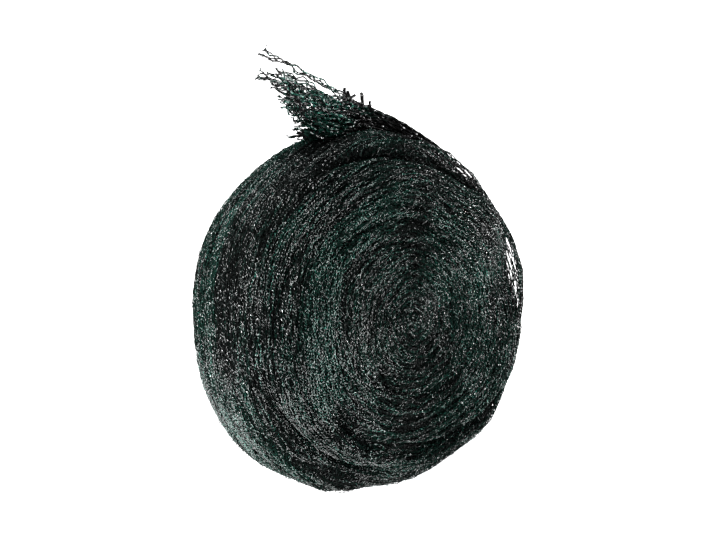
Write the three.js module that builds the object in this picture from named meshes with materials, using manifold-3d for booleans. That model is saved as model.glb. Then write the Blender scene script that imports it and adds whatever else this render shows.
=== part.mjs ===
// A pond net, gathered into a thick strand and wound into a roll, with its loose end standing off at the top.
// Millimetres, +Z up. The roll stands on its rim: its axis lies along Y and its front face looks towards -Y.
import * as THREE from "three";
import Module from "manifold-3d";

const wasm = await Module();
wasm.setup();

const { clamp, euclideanModulo, lerp, smoothstep } = THREE.MathUtils;
const RADIANS = Math.PI / 180;
const FULL_TURN = 2 * Math.PI;

// Driving sizes of the roll
const ROLL_RADIUS = 75;
const FRONT_BULGE = 32; // from the middle plane to the crown of the front face
const BACK_BULGE = 34;
const FRONT_SQUARENESS = 5; // power of the superellipse that the section follows: 2 is an ellipse
const BACK_SQUARENESS = 6;
const AXIS_HEIGHT = 73; // less than the radius: the weight flattens the rim where it stands
const SEAT_GAP = 0.3; // clearance between the roll and the loose end that lies on it

// Wall radius of the roll at even angles from +X, counter-clockwise as seen from the front
const OUTLINE = [
  { deg: 0, radius: 75 },
  { deg: 30, radius: 73 },
  { deg: 60, radius: 70.5 },
  { deg: 90, radius: 75 },
  { deg: 120, radius: 75.5 },
  { deg: 150, radius: 77 },
  { deg: 180, radius: 74.5 },
  { deg: 210, radius: 76.5 },
  { deg: 240, radius: 76.5 },
  { deg: 270, radius: 75 },
  { deg: 300, radius: 75 },
  { deg: 330, radius: 75 },
];

// The winding: crests and valleys run in spirals from the middle of the front face to the middle of the back
const TURNS = 22;
const TIGHTENING = 0.15; // the turns get narrower towards the middle of each face
const TURN_ROWS = [
  { part: "crest", height: 0.6 },
  { part: "flank", height: 0.1 },
  { part: "valley", height: -0.7 },
];
const POINTS_PER_TURN = 72;
const CROWN_GAP = 3; // distance of the first row from the middle of a face
const CROWN_DEG = 60; // the middle point of a face lies at this angle, between the ends of its spirals
const LUMP_HEIGHT = 0.9;
const LUMP_ON_RIDGES = 0.8; // share by which a lump makes the crests higher and a hollow makes them lower
const LUMP_SLANTS = { broad: 17, narrow: 23 }; // distances over which the lumps turn with the winding

// Main creases. Distances run along the section, from the crown of the front face
const CREASES = [
  { name: "top gap", fromDeg: 30, toDeg: 150, fromMm: 67, toMm: 75, depth: 5.5, spread: 3.6, step: 2.4 },
  { name: "left edge", fromDeg: 126, toDeg: 268, fromMm: 75, toMm: 76, depth: 2, spread: 3.6, step: 2 },
  { name: "bottom gap", fromDeg: 212, toDeg: 336, fromMm: 49, toMm: 71, depth: 3, spread: 3.6, step: 1.2 },
  { name: "lower lap", fromDeg: 210, toDeg: 276, fromMm: 73, toMm: 66, depth: 1.6, spread: 3, step: 0.8 },
  { name: "drawn-in foot", fromDeg: 196, toDeg: 318, fromMm: 68, toMm: 68, depth: 5, spread: 13, step: 0 },
];
const CREASE_FADE_DEG = 24; // over this angle a crease begins and ends

// The loose end leaves the roll along its tangent at this angle, after lying on it for a while
const LEAVES_DEG = 63;
const LOOSE_MIDDLE = 4; // its place along the roll's axis
const BEND_DEG = 11; // it bends down by this much along the fan
const FAN_LENGTH = 40;

// Sections of the gathered root, at distances along the loose end from where it leaves the roll
const ROOT_SECTIONS = [
  { along: -60, width: 42, thick: 2, lift: 0.7 },
  { along: -38, width: 38, thick: 3.6, lift: 1 },
  { along: -16, width: 28, thick: 6.5, lift: 2 },
  { along: 0, width: 22, thick: 8.5, lift: 3.2 },
  { along: 12, width: 20, thick: 9, lift: 4 },
  { along: 22, width: 20, thick: 9.5, lift: 4 },
];
const ROOT_POINTS = 28;
const ROOT_PLEATS = 7;
const PLEAT_HEIGHT = 0.1; // as a share of the section's own size

// Sections of the fan: one sheet folded back and forth into layers that spread as it opens
const LAYERS = 5;
const LAYER_THICKNESS = 1.3;
const FAN_LIFT = 4;
const FAN_SECTIONS = [
  { along: 8, width: 16, pitch: 1.65 },
  { along: 24, width: 18, pitch: 2 },
  { along: FAN_LENGTH, width: 22, pitch: 3 },
];

// Net strands that go on from each layer's end, from the lowest layer to the highest
const STRAND_THICKNESS = 1.1;
const STRANDS_PER_LAYER = 7;
const EMBEDDED = 3; // length of each strand's root inside the fan
const LEG_LENGTH = 8; // one side of a mesh of the net
const LAYER_ENDS = [
  { legs: 3, longest: 4, riseDeg: -5 },
  { legs: 3, longest: 5, riseDeg: -2 },
  { legs: 4, longest: 5, riseDeg: 2 },
  { legs: 4, longest: 6, riseDeg: 6 },
  { legs: 5, longest: 7, riseDeg: 10 },
];

const NET_COLOUR = 0x1d2a28;
const NET_ROUGHNESS = 0.5;

// The section of the roll, as a table of radius and depth against the distance walked along it
const PROFILE_STEPS = 600;

function profileTable() {
  const table = [{ distance: 0, radius: 0, depth: -FRONT_BULGE }];
  for (let i = 1; i <= PROFILE_STEPS; i += 1) {
    const turn = (Math.PI * i) / PROFILE_STEPS;
    const front = turn < Math.PI / 2;
    const power = 2 / (front ? FRONT_SQUARENESS : BACK_SQUARENESS);
    const radius = ROLL_RADIUS * Math.max(Math.sin(turn), 0) ** power;
    const depth = (front ? -FRONT_BULGE : BACK_BULGE) * Math.abs(Math.cos(turn)) ** power;
    const last = table[table.length - 1];
    const distance = last.distance + Math.hypot(radius - last.radius, depth - last.depth);
    table.push({ distance, radius, depth });
  }
  return table;
}

const PROFILE = profileTable();
const PROFILE_LENGTH = PROFILE[PROFILE.length - 1].distance;

// Value of a column of a table at a key between its rows
function readTable(table, key, column, wanted) {
  let low = 0;
  let high = table.length - 1;
  while (high - low > 1) {
    const middle = (low + high) >> 1;
    if (table[middle][key] > wanted) high = middle;
    else low = middle;
  }
  const share = clamp((wanted - table[low][key]) / (table[high][key] - table[low][key]), 0, 1);
  return lerp(table[low][column], table[high][column], share);
}

function profileAt(distance) {
  return new THREE.Vector2(
    readTable(PROFILE, "distance", "radius", distance),
    readTable(PROFILE, "distance", "depth", distance),
  );
}

// Share of the mean radius that the outline has at an angle, on a smooth closed curve through its table
function outlineShare(angle) {
  const at = (euclideanModulo(angle, FULL_TURN) / FULL_TURN) * OUTLINE.length;
  const first = Math.floor(at);
  const t = at - first;
  const near = [-1, 0, 1, 2].map((k) => OUTLINE[euclideanModulo(first + k, OUTLINE.length)].radius);
  const [a, b, c, d] = near;
  const curve = b + 0.5 * t * (c - a + t * (2 * a - 5 * b + 4 * c - d + t * (3 * (b - c) + d - a)));
  return curve / ROLL_RADIUS;
}

// How far the main creases sink the surface, and how far the turn behind each laps over
function creaseHeight(angle, distance) {
  const deg = euclideanModulo(angle / RADIANS, 360);
  let height = 0;
  for (const crease of CREASES) {
    const begun = smoothstep(deg, crease.fromDeg, crease.fromDeg + CREASE_FADE_DEG);
    const ended = smoothstep(deg, crease.toDeg - CREASE_FADE_DEG, crease.toDeg);
    const share = clamp((deg - crease.fromDeg) / (crease.toDeg - crease.fromDeg), 0, 1);
    const off = distance - lerp(crease.fromMm, crease.toMm, share);
    const trough = crease.depth * Math.exp(-((off / crease.spread) ** 2));
    const lapBegins = smoothstep(off, 0, 2 * crease.spread);
    const lapEnds = smoothstep(off, 6 * crease.spread, 14 * crease.spread);
    height += begun * (1 - ended) * (crease.step * lapBegins * (1 - lapEnds) - trough);
  }
  return height;
}

// Distance along the section that the winding has reached after some turns
function turnDistance(turns) {
  const half = 0.5 * TURNS;
  const share = turns / half - 1;
  const reach = (0.5 * PROFILE_LENGTH - CROWN_GAP) / (1 - TIGHTENING);
  return 0.5 * PROFILE_LENGTH + reach * share * (1 - TIGHTENING * share * share);
}

// Slow lumps of a roll wound by hand, from -1 to 1
function lump(angle, distance) {
  const broad = Math.sin(3 * angle + distance / LUMP_SLANTS.broad);
  return broad * Math.cos(2 * angle - distance / LUMP_SLANTS.narrow);
}

// A point of the roll's skin, raised along its section's normal
function skinPoint(angle, distance, ridge, lift) {
  const here = profileAt(distance);
  const along = profileAt(distance + 1).sub(profileAt(distance - 1)).normalize();
  const crest = ridge * (1 + LUMP_ON_RIDGES * lump(angle, distance));
  const uneven = crest + LUMP_HEIGHT * lump(angle + 2, distance);
  const height = lift + uneven + creaseHeight(angle, distance);
  const radius = Math.max((here.x + along.y * height) * outlineShare(angle), 0);
  const up = AXIS_HEIGHT + radius * Math.sin(angle);
  return new THREE.Vector3(radius * Math.cos(angle), here.y - along.x * height, Math.max(up, -lift));
}

function solidFrom(positions, triangles) {
  const mesh = new wasm.Mesh({
    numProp: 3,
    vertProperties: new Float32Array(positions.flatMap((point) => point.toArray())),
    triVerts: new Uint32Array(triangles),
  });
  return new wasm.Manifold(mesh);
}

// The whole skin of the roll: rows that run round in spirals, closed by a fan at the middle of each face
function rollSolid(lift) {
  const starts = TURN_ROWS.length;
  const rows = starts * (TURNS - 1);
  const positions = [];
  for (let row = 0; row <= rows; row += 1) {
    for (let column = 0; column < POINTS_PER_TURN; column += 1) {
      const share = column / POINTS_PER_TURN;
      const distance = turnDistance(row / starts + share);
      positions.push(skinPoint(share * FULL_TURN, distance, TURN_ROWS[row % starts].height, lift));
    }
  }
  const at = (row, column) => {
    const over = column === POINTS_PER_TURN;
    return over ? (row + starts) * POINTS_PER_TURN : row * POINTS_PER_TURN + column;
  };
  const triangles = [];
  for (let row = 0; row < rows; row += 1) {
    for (let column = 0; column < POINTS_PER_TURN; column += 1) {
      if (column === POINTS_PER_TURN - 1 && row + 1 + starts > rows) continue;
      const [a, b] = [at(row, column), at(row, column + 1)];
      const [c, d] = [at(row + 1, column + 1), at(row + 1, column)];
      triangles.push(a, c, b, a, d, c);
    }
  }
  const closeFace = (ring, middle, flipped) => {
    positions.push(middle);
    ring.forEach((point, i) => {
      const next = ring[(i + 1) % ring.length];
      if (flipped) triangles.push(positions.length - 1, point, next);
      else triangles.push(positions.length - 1, next, point);
    });
  };
  const columns = [...Array(POINTS_PER_TURN).keys()];
  const steps = [...Array(starts).keys()];
  const front = [...columns.map((c) => at(0, c)), ...steps.map((k) => at(starts - k, 0))];
  const back = [...columns.map((c) => at(rows, c)), ...steps.map((k) => at(rows - k - 1, POINTS_PER_TURN - 1))];
  const crown = CROWN_DEG * RADIANS;
  closeFace(front, skinPoint(-crown, 0.5 * CROWN_GAP, 0, lift), true);
  closeFace(back, skinPoint(crown, PROFILE_LENGTH - 0.5 * CROWN_GAP, 0, lift), false);
  return solidFrom(positions, triangles);
}

// Radius of the wall under the loose end
function wallRadius(angle) {
  const point = skinPoint(angle, 0.5 * PROFILE_LENGTH + LOOSE_MIDDLE, 0, 0);
  return Math.hypot(point.x, point.z - AXIS_HEIGHT);
}

// Where the loose end runs: along the wall first, then straight off it. The normal points away from the roll
function looseFrame(along) {
  const leaves = LEAVES_DEG * RADIANS;
  const wall = wallRadius(leaves);
  const place = new THREE.Vector3(0, LOOSE_MIDDLE, AXIS_HEIGHT);
  let heading = leaves + Math.PI / 2;
  if (along < 0) {
    heading += along / wall;
    const radius = wallRadius(heading - Math.PI / 2);
    place.x += radius * Math.sin(heading);
    place.z -= radius * Math.cos(heading);
  } else {
    const bend = (BEND_DEG * RADIANS) / FAN_LENGTH;
    const start = heading;
    heading += bend * along;
    place.x += wall * Math.cos(leaves) + (Math.sin(heading) - Math.sin(start)) / bend;
    place.z += wall * Math.sin(leaves) - (Math.cos(heading) - Math.cos(start)) / bend;
  }
  return {
    place,
    across: new THREE.Vector3(0, -1, 0),
    normal: new THREE.Vector3(Math.sin(heading), 0, -Math.cos(heading)),
    forward: new THREE.Vector3(Math.cos(heading), 0, Math.sin(heading)),
  };
}

// A solid through sections that all have the same outline order, counter-clockwise as seen from ahead
function loft(outlines, frames) {
  const count = outlines[0].length;
  const positions = outlines.flatMap((outline, k) => outline.map((point) => frames[k].place.clone()
    .addScaledVector(frames[k].across, point.x)
    .addScaledVector(frames[k].normal, point.y)));
  const triangles = [];
  for (let k = 0; k + 1 < outlines.length; k += 1) {
    for (let i = 0; i < count; i += 1) {
      const [a, b] = [k * count + i, k * count + ((i + 1) % count)];
      triangles.push(a, b, b + count, a, b + count, a + count);
    }
  }
  const last = (outlines.length - 1) * count;
  for (const [a, b, c] of THREE.ShapeUtils.triangulateShape(outlines[0], [])) triangles.push(a, c, b);
  for (const [a, b, c] of THREE.ShapeUtils.triangulateShape(outlines[outlines.length - 1], [])) {
    triangles.push(last + a, last + b, last + c);
  }
  return solidFrom(positions, triangles);
}

// The gathered root: a flat bunch with pleats along it
function rootSolid() {
  const outlines = ROOT_SECTIONS.map(({ width, thick, lift }) => {
    const outline = [];
    for (let i = 0; i < ROOT_POINTS; i += 1) {
      const turn = (FULL_TURN * i) / ROOT_POINTS;
      const pleat = 1 + PLEAT_HEIGHT * Math.cos(ROOT_PLEATS * turn);
      outline.push(new THREE.Vector2(
        0.5 * width * pleat * Math.cos(turn),
        lift + 0.5 * thick * pleat * Math.sin(turn),
      ));
    }
    return outline;
  });
  return loft(outlines, ROOT_SECTIONS.map(({ along }) => looseFrame(along)));
}

// Height of a layer of the fan above the loose end's own line
function layerLift(layer, pitch) {
  return FAN_LIFT + pitch * (layer - 0.5 * (LAYERS - 1));
}

// Outline of the folded sheet: one side of it layer by layer, then the other side back
function foldedOutline(width, pitch) {
  const half = 0.5 * width;
  const inner = half - LAYER_THICKNESS;
  const wall = 0.5 * LAYER_THICKNESS;
  const rightHand = [];
  const leftHand = [];
  for (let layer = 0; layer < LAYERS; layer += 1) {
    const way = layer % 2 === 0 ? 1 : -1;
    const lift = layerLift(layer, pitch);
    const begins = layer === 0 ? half : inner;
    const ends = layer === LAYERS - 1 ? half : inner;
    const lower = [new THREE.Vector2(-way * begins, lift - wall), new THREE.Vector2(way * half, lift - wall)];
    const upper = [new THREE.Vector2(-way * half, lift + wall), new THREE.Vector2(way * ends, lift + wall)];
    rightHand.push(...(way > 0 ? lower : upper));
    leftHand.push(...(way > 0 ? upper : lower));
  }
  return [...rightHand, ...leftHand.reverse()];
}

function fanSolid() {
  const outlines = FAN_SECTIONS.map(({ width, pitch }) => foldedOutline(width, pitch));
  return loft(outlines, FAN_SECTIONS.map(({ along }) => looseFrame(along)));
}

// One strand of the net: a square thread through its knots
function strandSolid(knots, normal) {
  const half = 0.5 * STRAND_THICKNESS;
  const square = [[-half, -half], [half, -half], [half, half], [-half, half]];
  const outline = square.map(([x, y]) => new THREE.Vector2(x, y));
  const frames = knots.map((place, k) => {
    const before = knots[Math.max(k - 1, 0)];
    const after = knots[Math.min(k + 1, knots.length - 1)];
    const forward = after.clone().sub(before).normalize();
    const across = normal.clone().cross(forward).normalize();
    return { place, across, normal: forward.clone().cross(across) };
  });
  return loft(knots.map(() => outline), frames);
}

// The open net beyond the fan: neighbours meet at every other knot, then their cut ends stand free
function netSolids() {
  const frame = looseFrame(FAN_LENGTH);
  const { width, pitch } = FAN_SECTIONS[FAN_SECTIONS.length - 1];
  const spacing = (width - 2 * LAYER_THICKNESS) / STRANDS_PER_LAYER;
  const advance = Math.sqrt(LEG_LENGTH ** 2 - spacing ** 2);
  const strands = [];
  LAYER_ENDS.forEach(({ legs, longest, riseDeg }, layer) => {
    const rise = riseDeg * RADIANS;
    const onward = frame.forward.clone().multiplyScalar(Math.cos(rise));
    onward.addScaledVector(frame.normal, Math.sin(rise));
    for (let strand = 0; strand < STRANDS_PER_LAYER; strand += 1) {
      const knots = [];
      const last = Math.abs(strand - 0.5 * (STRANDS_PER_LAYER - 1)) < 1 ? longest : legs + ((strand + layer) % 2);
      for (let knot = -1; knot <= last; knot += 1) {
        const zigzag = (strand + Math.max(knot, 0)) % 2 === 0 ? 0.5 : -0.5;
        const beside = spacing * (strand - 0.5 * (STRANDS_PER_LAYER - 1) + zigzag);
        knots.push(frame.place.clone()
          .addScaledVector(frame.normal, layerLift(layer, pitch))
          .addScaledVector(frame.across, beside)
          .addScaledVector(onward, knot < 0 ? -EMBEDDED : advance * knot));
      }
      strands.push(strandSolid(knots, frame.normal));
    }
  });
  return strands;
}

function meshFrom(name, solid, shift) {
  const { numProp, vertProperties, triVerts } = solid.translate(shift).getMesh();
  const geometry = new THREE.BufferGeometry();
  geometry.setAttribute("position", new THREE.BufferAttribute(vertProperties, numProp));
  geometry.setIndex(new THREE.BufferAttribute(triVerts, 1));
  geometry.computeVertexNormals();
  const material = new THREE.MeshStandardMaterial({ color: NET_COLOUR, roughness: NET_ROUGHNESS, metalness: 0 });
  const mesh = new THREE.Mesh(geometry, material);
  mesh.name = name;
  return mesh;
}

const roll = rollSolid(0);
const looseParts = wasm.Manifold.union([rootSolid(), fanSolid(), ...netSolids()]);
const looseEnd = looseParts.subtract(rollSolid(SEAT_GAP));

// The origin is at the bottom, under the middle of the whole
const { min, max } = wasm.Manifold.compose([roll, looseEnd]).boundingBox();
const shift = [-0.5 * (min[0] + max[0]), -0.5 * (min[1] + max[1]), -min[2]];

const net = new THREE.Group();
net.name = "pond_net";
net.add(meshFrom("roll", roll, shift));
net.add(meshFrom("loose_end", looseEnd, shift));

export default net;
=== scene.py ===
"""Dress the wound pond net: strands of knitted net over a dark core, and the loose end that fans out."""

import logging
import math
from collections.abc import Iterator, Sequence
from dataclasses import dataclass, field
from enum import Enum
from typing import Any

import bmesh
import bpy
import numpy as np
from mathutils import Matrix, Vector


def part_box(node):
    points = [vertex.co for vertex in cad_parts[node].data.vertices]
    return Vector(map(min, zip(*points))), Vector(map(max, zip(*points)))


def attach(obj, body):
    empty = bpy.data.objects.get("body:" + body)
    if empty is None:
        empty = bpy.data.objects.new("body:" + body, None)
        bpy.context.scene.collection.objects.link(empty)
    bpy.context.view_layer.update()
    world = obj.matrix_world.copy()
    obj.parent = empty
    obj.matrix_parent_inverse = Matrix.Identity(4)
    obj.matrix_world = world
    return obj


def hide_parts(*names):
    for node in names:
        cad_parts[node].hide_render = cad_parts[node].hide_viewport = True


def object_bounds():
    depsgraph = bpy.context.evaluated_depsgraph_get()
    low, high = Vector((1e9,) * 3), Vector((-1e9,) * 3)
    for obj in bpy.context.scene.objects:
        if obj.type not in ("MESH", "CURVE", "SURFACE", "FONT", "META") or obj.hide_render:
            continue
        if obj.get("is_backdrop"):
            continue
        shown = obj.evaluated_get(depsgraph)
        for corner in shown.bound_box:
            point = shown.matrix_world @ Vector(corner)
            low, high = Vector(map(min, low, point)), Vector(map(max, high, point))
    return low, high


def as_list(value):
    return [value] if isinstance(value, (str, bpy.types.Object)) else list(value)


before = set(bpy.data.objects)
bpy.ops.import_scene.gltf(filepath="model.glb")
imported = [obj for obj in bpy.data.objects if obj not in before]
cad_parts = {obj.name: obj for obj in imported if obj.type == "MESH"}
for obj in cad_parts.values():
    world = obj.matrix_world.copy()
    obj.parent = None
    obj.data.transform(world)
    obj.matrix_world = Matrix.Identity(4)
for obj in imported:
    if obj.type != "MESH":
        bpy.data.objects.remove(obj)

Array = np.ndarray

LOG = logging.getLogger("pond_net")
CAD_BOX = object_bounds()
MM = 0.001
FULL_TURN = 2.0 * math.pi
BODY = "root"
# The Mix node's outputs are a number, a vector and a colour, in this order.
MIXED_COLOUR = 2
# A length that is as good as nothing, to divide by in place of zero.
TINY = 1e-9
# How far stitches and strands vary in tone, how a knitted chain swells and narrows, and its twist in radians.
TONE_SPREAD = 0.45
STRAND_TONES = (0.85, 1.15)
BEAD_SIZE = 1.35
NECK_SIZE = 0.65
SIZE_SPREAD = (0.8, 1.2)
TWIST_STEP = (0.4, 1.7)


def linear(hex_colour: str) -> tuple[float, float, float, float]:
    """Turn an sRGB hex colour into linear RGBA.

    Args:
        hex_colour: six hex digits after a hash.

    Returns:
        Linear red, green and blue, with an alpha of one.
    """
    parts = [int(hex_colour[i:i + 2], 16) / 255.0 for i in (1, 3, 5)]
    red, green, blue = [c / 12.92 if c <= 0.04045 else ((c + 0.055) / 1.055) ** 2.4 for c in parts]
    return red, green, blue, 1.0


def smooth(value: Array, low: Any, high: Any) -> Array:
    """Rise smoothly from 0 at low to 1 at high.

    Args:
        value: where to read the rise.
        low: where it begins.
        high: where it ends.

    Returns:
        The height of the rise at each value.
    """
    share = np.clip((value - low) / (high - low), 0.0, 1.0)
    return share * share * (3.0 - 2.0 * share)


def window(value: Array, low: float, high: float, fade: float) -> Array:
    """Give 1 between low and high and 0 outside, with soft ends of that fade."""
    return smooth(value, low - fade, low + fade) * (1.0 - smooth(value, high - fade, high + fade))


def zigzag(value: Array) -> Array:
    """Swing evenly between -1 and 1 once in each unit."""
    return 2.0 * np.abs(2.0 * (value - np.floor(value)) - 1.0) - 1.0


def unit(vectors: Array) -> Array:
    """Scale vectors to a length of one."""
    return vectors / np.maximum(np.linalg.norm(vectors, axis=-1, keepdims=True), TINY)


@dataclass(frozen=True)
class Wander:
    """The waves in which strands wander: their lengths in millimetres, and how far each one sways."""

    lengths: tuple[float, ...]
    heights: tuple[float, ...]
    stretch: tuple[float, float] = (0.75, 1.3)

    def sway(self, draw: np.random.Generator, along: Array) -> Array:
        """Wander smoothly and differently along each strand.

        Args:
            draw: the source of random numbers.
            along: distance along each strand in millimetres, one row for each strand.

        Returns:
            How far each point sways, in the unit of the heights.
        """
        total = np.zeros_like(along)
        rows = (along.shape[0], 1)
        for length, height in zip(self.lengths, self.heights):
            phase = draw.random(rows) * FULL_TURN
            stretch = draw.uniform(*self.stretch, rows)
            total += height * np.sin(FULL_TURN * along * stretch / length + phase)
        return total


def add_node(
        tree: bpy.types.NodeTree, kind: str, inputs: dict[Any, Any] | None = None, **settings: Any,
) -> bpy.types.Node:
    """Add a node with its settings and links.

    Args:
        tree: the material's or the world's node tree.
        kind: the node's type name.
        inputs: socket name or number to a value, or to the socket that feeds it.
        settings: the node's own settings.

    Returns:
        The new node.
    """
    node = tree.nodes.new(kind)
    for name, value in settings.items():
        setattr(node, name, value)
    for key, value in (inputs or {}).items():
        if isinstance(value, bpy.types.NodeSocket):
            tree.links.new(value, node.inputs[key])
        else:
            node.inputs[key].default_value = value
    return node


def new_material(name: str) -> tuple[bpy.types.Material, bpy.types.NodeTree]:
    """Start an empty node material.

    Args:
        name: the material's name.

    Returns:
        The material and its empty node tree.
    """
    material = bpy.data.materials.new(name)
    material.use_nodes = True
    material.node_tree.nodes.clear()
    return material, material.node_tree


@dataclass(frozen=True)
class KnittedYarn:
    """Knitted polyethylene yarn, drawn and slightly waxy, in near black and dark green."""

    # Drawn filaments are smooth, so a stitch that faces a light gives the eye one small hard glint, and the
    # stitches beside it stay almost black.
    name: str
    gleam: float
    roughness: float
    green: str
    black: str
    # Polyethylene has about 1.5. This is higher, to match the glints of many filaments that lie together.
    ior: float = 1.7
    # Real filaments are finer. They are drawn this coarse so that they show in the render.
    filament_mm: float = 0.45
    filament_depth_mm: float = 0.06
    filament_bump: float = 0.5

    def material(self) -> bpy.types.Material:
        """Make the material. The tint attribute mixes its colours, and the tone attribute lightens or darkens
        a stitch, by chance and by painted light and shade.

        Returns:
            The material.
        """
        material, tree = new_material(self.name)
        tint = add_node(tree, "ShaderNodeAttribute", attribute_name="tint").outputs["Fac"]
        tone = add_node(tree, "ShaderNodeAttribute", attribute_name="tone").outputs["Fac"]
        mix = add_node(tree, "ShaderNodeMix", {
            "Factor": tint, "A": linear(self.black), "B": linear(self.green)}, data_type="RGBA")
        colour = add_node(tree, "ShaderNodeHueSaturation", {
            "Value": tone, "Color": mix.outputs[MIXED_COLOUR]})
        place = add_node(tree, "ShaderNodeTexCoord").outputs["Object"]
        filaments = add_node(tree, "ShaderNodeTexNoise", {
            "Vector": place, "Scale": 1.0 / (self.filament_mm * MM), "Detail": 1.0})
        bump = add_node(tree, "ShaderNodeBump", {
            "Strength": self.filament_bump, "Distance": self.filament_depth_mm * MM,
            "Height": filaments.outputs["Fac"]})
        shader = add_node(tree, "ShaderNodeBsdfPrincipled", {
            "Base Color": colour.outputs["Color"], "Roughness": self.roughness, "IOR": self.ior,
            "Specular IOR Level": self.gleam, "Normal": bump.outputs["Normal"]})
        add_node(tree, "ShaderNodeOutputMaterial", {"Surface": shader.outputs["BSDF"]})
        return material


@dataclass(frozen=True)
class Yarns:
    """The two sides of the yarn: drawn filaments that lie flat and gleam, and fuzz that stays matt. The matt
    copy is also darker, as painted shade, and the glossy green lighter, as painted light.
    """

    glossy: bpy.types.Material
    dull_shaded: bpy.types.Material

    @classmethod
    def make(cls) -> "Yarns":
        """Make both materials.

        Returns:
            The yarn's finishes.
        """
        # Painted light and shade: the glossy green is lighter, and both colours of the matt copy are darker.
        glossy = KnittedYarn(
            "knitted_polyethylene_glossy_lit", gleam=1.0, roughness=0.22, green="#0e4036", black="#0d0c0d")
        dull_shaded = KnittedYarn(
            "knitted_polyethylene_dull_shaded", gleam=0.025, roughness=0.6, green="#09251e", black="#0a090a")
        return cls(glossy.material(), dull_shaded.material())


@dataclass(frozen=True)
class ShadedTurns:
    """The turns of net under the outer strands, of the same knitted polyethylene."""

    # The turns lie in their own shade. They give the eye near black, with dim specks where light gets in.
    dark: str = "#050606"
    light: str = "#2b3331"
    stitch_mm: float = 0.8
    stitch_depth_mm: float = 0.4
    stitch_bump: float = 0.8
    lit_from: float = 0.5
    lit_to: float = 0.66
    roughness: float = 0.9
    sheen: float = 0.04

    def material(self) -> bpy.types.Material:
        """Make the material, with a speck for each stitch that catches some light.

        Returns:
            The material.
        """
        material, tree = new_material("shaded_inner_turns")
        place = add_node(tree, "ShaderNodeTexCoord").outputs["Object"]
        stitches = add_node(tree, "ShaderNodeTexNoise", {
            "Vector": place, "Scale": 1.0 / (self.stitch_mm * MM), "Detail": 1.0})
        specks = add_node(tree, "ShaderNodeMapRange", {
            "Value": stitches.outputs["Fac"], "From Min": self.lit_from, "From Max": self.lit_to})
        mix = add_node(tree, "ShaderNodeMix", {
            "Factor": specks.outputs["Result"], "A": linear(self.dark), "B": linear(self.light),
        }, data_type="RGBA")
        bump = add_node(tree, "ShaderNodeBump", {
            "Strength": self.stitch_bump, "Distance": self.stitch_depth_mm * MM,
            "Height": stitches.outputs["Fac"]})
        shader = add_node(tree, "ShaderNodeBsdfPrincipled", {
            "Base Color": mix.outputs[MIXED_COLOUR], "Roughness": self.roughness,
            "Specular IOR Level": self.sheen, "Normal": bump.outputs["Normal"]})
        add_node(tree, "ShaderNodeOutputMaterial", {"Surface": shader.outputs["BSDF"]})
        return material


@dataclass(frozen=True)
class LightTable:
    """The white diffuser of a light table, matt and lit from below."""

    # It gives the eye an even white with almost no shadow, and lights the object most from the front left.
    white: str = "#f8f8f8"
    shade: str = "#f4f4f4"
    cloud_mm: float = 333.333
    least_glow: float = 1.0
    most_glow: float = 3.6
    dim_at: float = -0.06
    bright_at: float = 0.12
    bright_way: tuple[float, float, float] = (-0.77, -0.64, 0.0)

    def material(self) -> bpy.types.Material:
        """Make the material.

        Returns:
            The material.
        """
        material, tree = new_material("white_lit_diffuser")
        place = add_node(tree, "ShaderNodeTexCoord").outputs["Object"]
        cloud = add_node(tree, "ShaderNodeTexNoise", {"Vector": place, "Scale": 1.0 / (self.cloud_mm * MM)})
        mix = add_node(tree, "ShaderNodeMix", {
            "Factor": cloud.outputs["Fac"], "A": linear(self.white), "B": linear(self.shade),
        }, data_type="RGBA")
        ahead = add_node(tree, "ShaderNodeVectorMath", {
            0: place, 1: self.bright_way}, operation="DOT_PRODUCT")
        glow = add_node(tree, "ShaderNodeMapRange", {
            "Value": ahead.outputs["Value"], "From Min": self.dim_at, "From Max": self.bright_at,
            "To Min": self.least_glow, "To Max": self.most_glow}, interpolation_type="SMOOTHSTEP")
        shader = add_node(tree, "ShaderNodeBsdfPrincipled", {
            "Base Color": mix.outputs[MIXED_COLOUR], "Roughness": 1.0, "Specular IOR Level": 0.0,
            "Emission Color": (1.0, 1.0, 1.0, 1.0), "Emission Strength": glow.outputs["Result"]})
        add_node(tree, "ShaderNodeOutputMaterial", {"Surface": shader.outputs["BSDF"]})
        return material


@dataclass(frozen=True)
class Crease:
    """A crease of the roll. Distances run along its section from the crown of the front face."""

    from_deg: float
    to_deg: float
    from_mm: float
    to_mm: float
    depth: float
    spread: float
    step: float = 0.0


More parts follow.
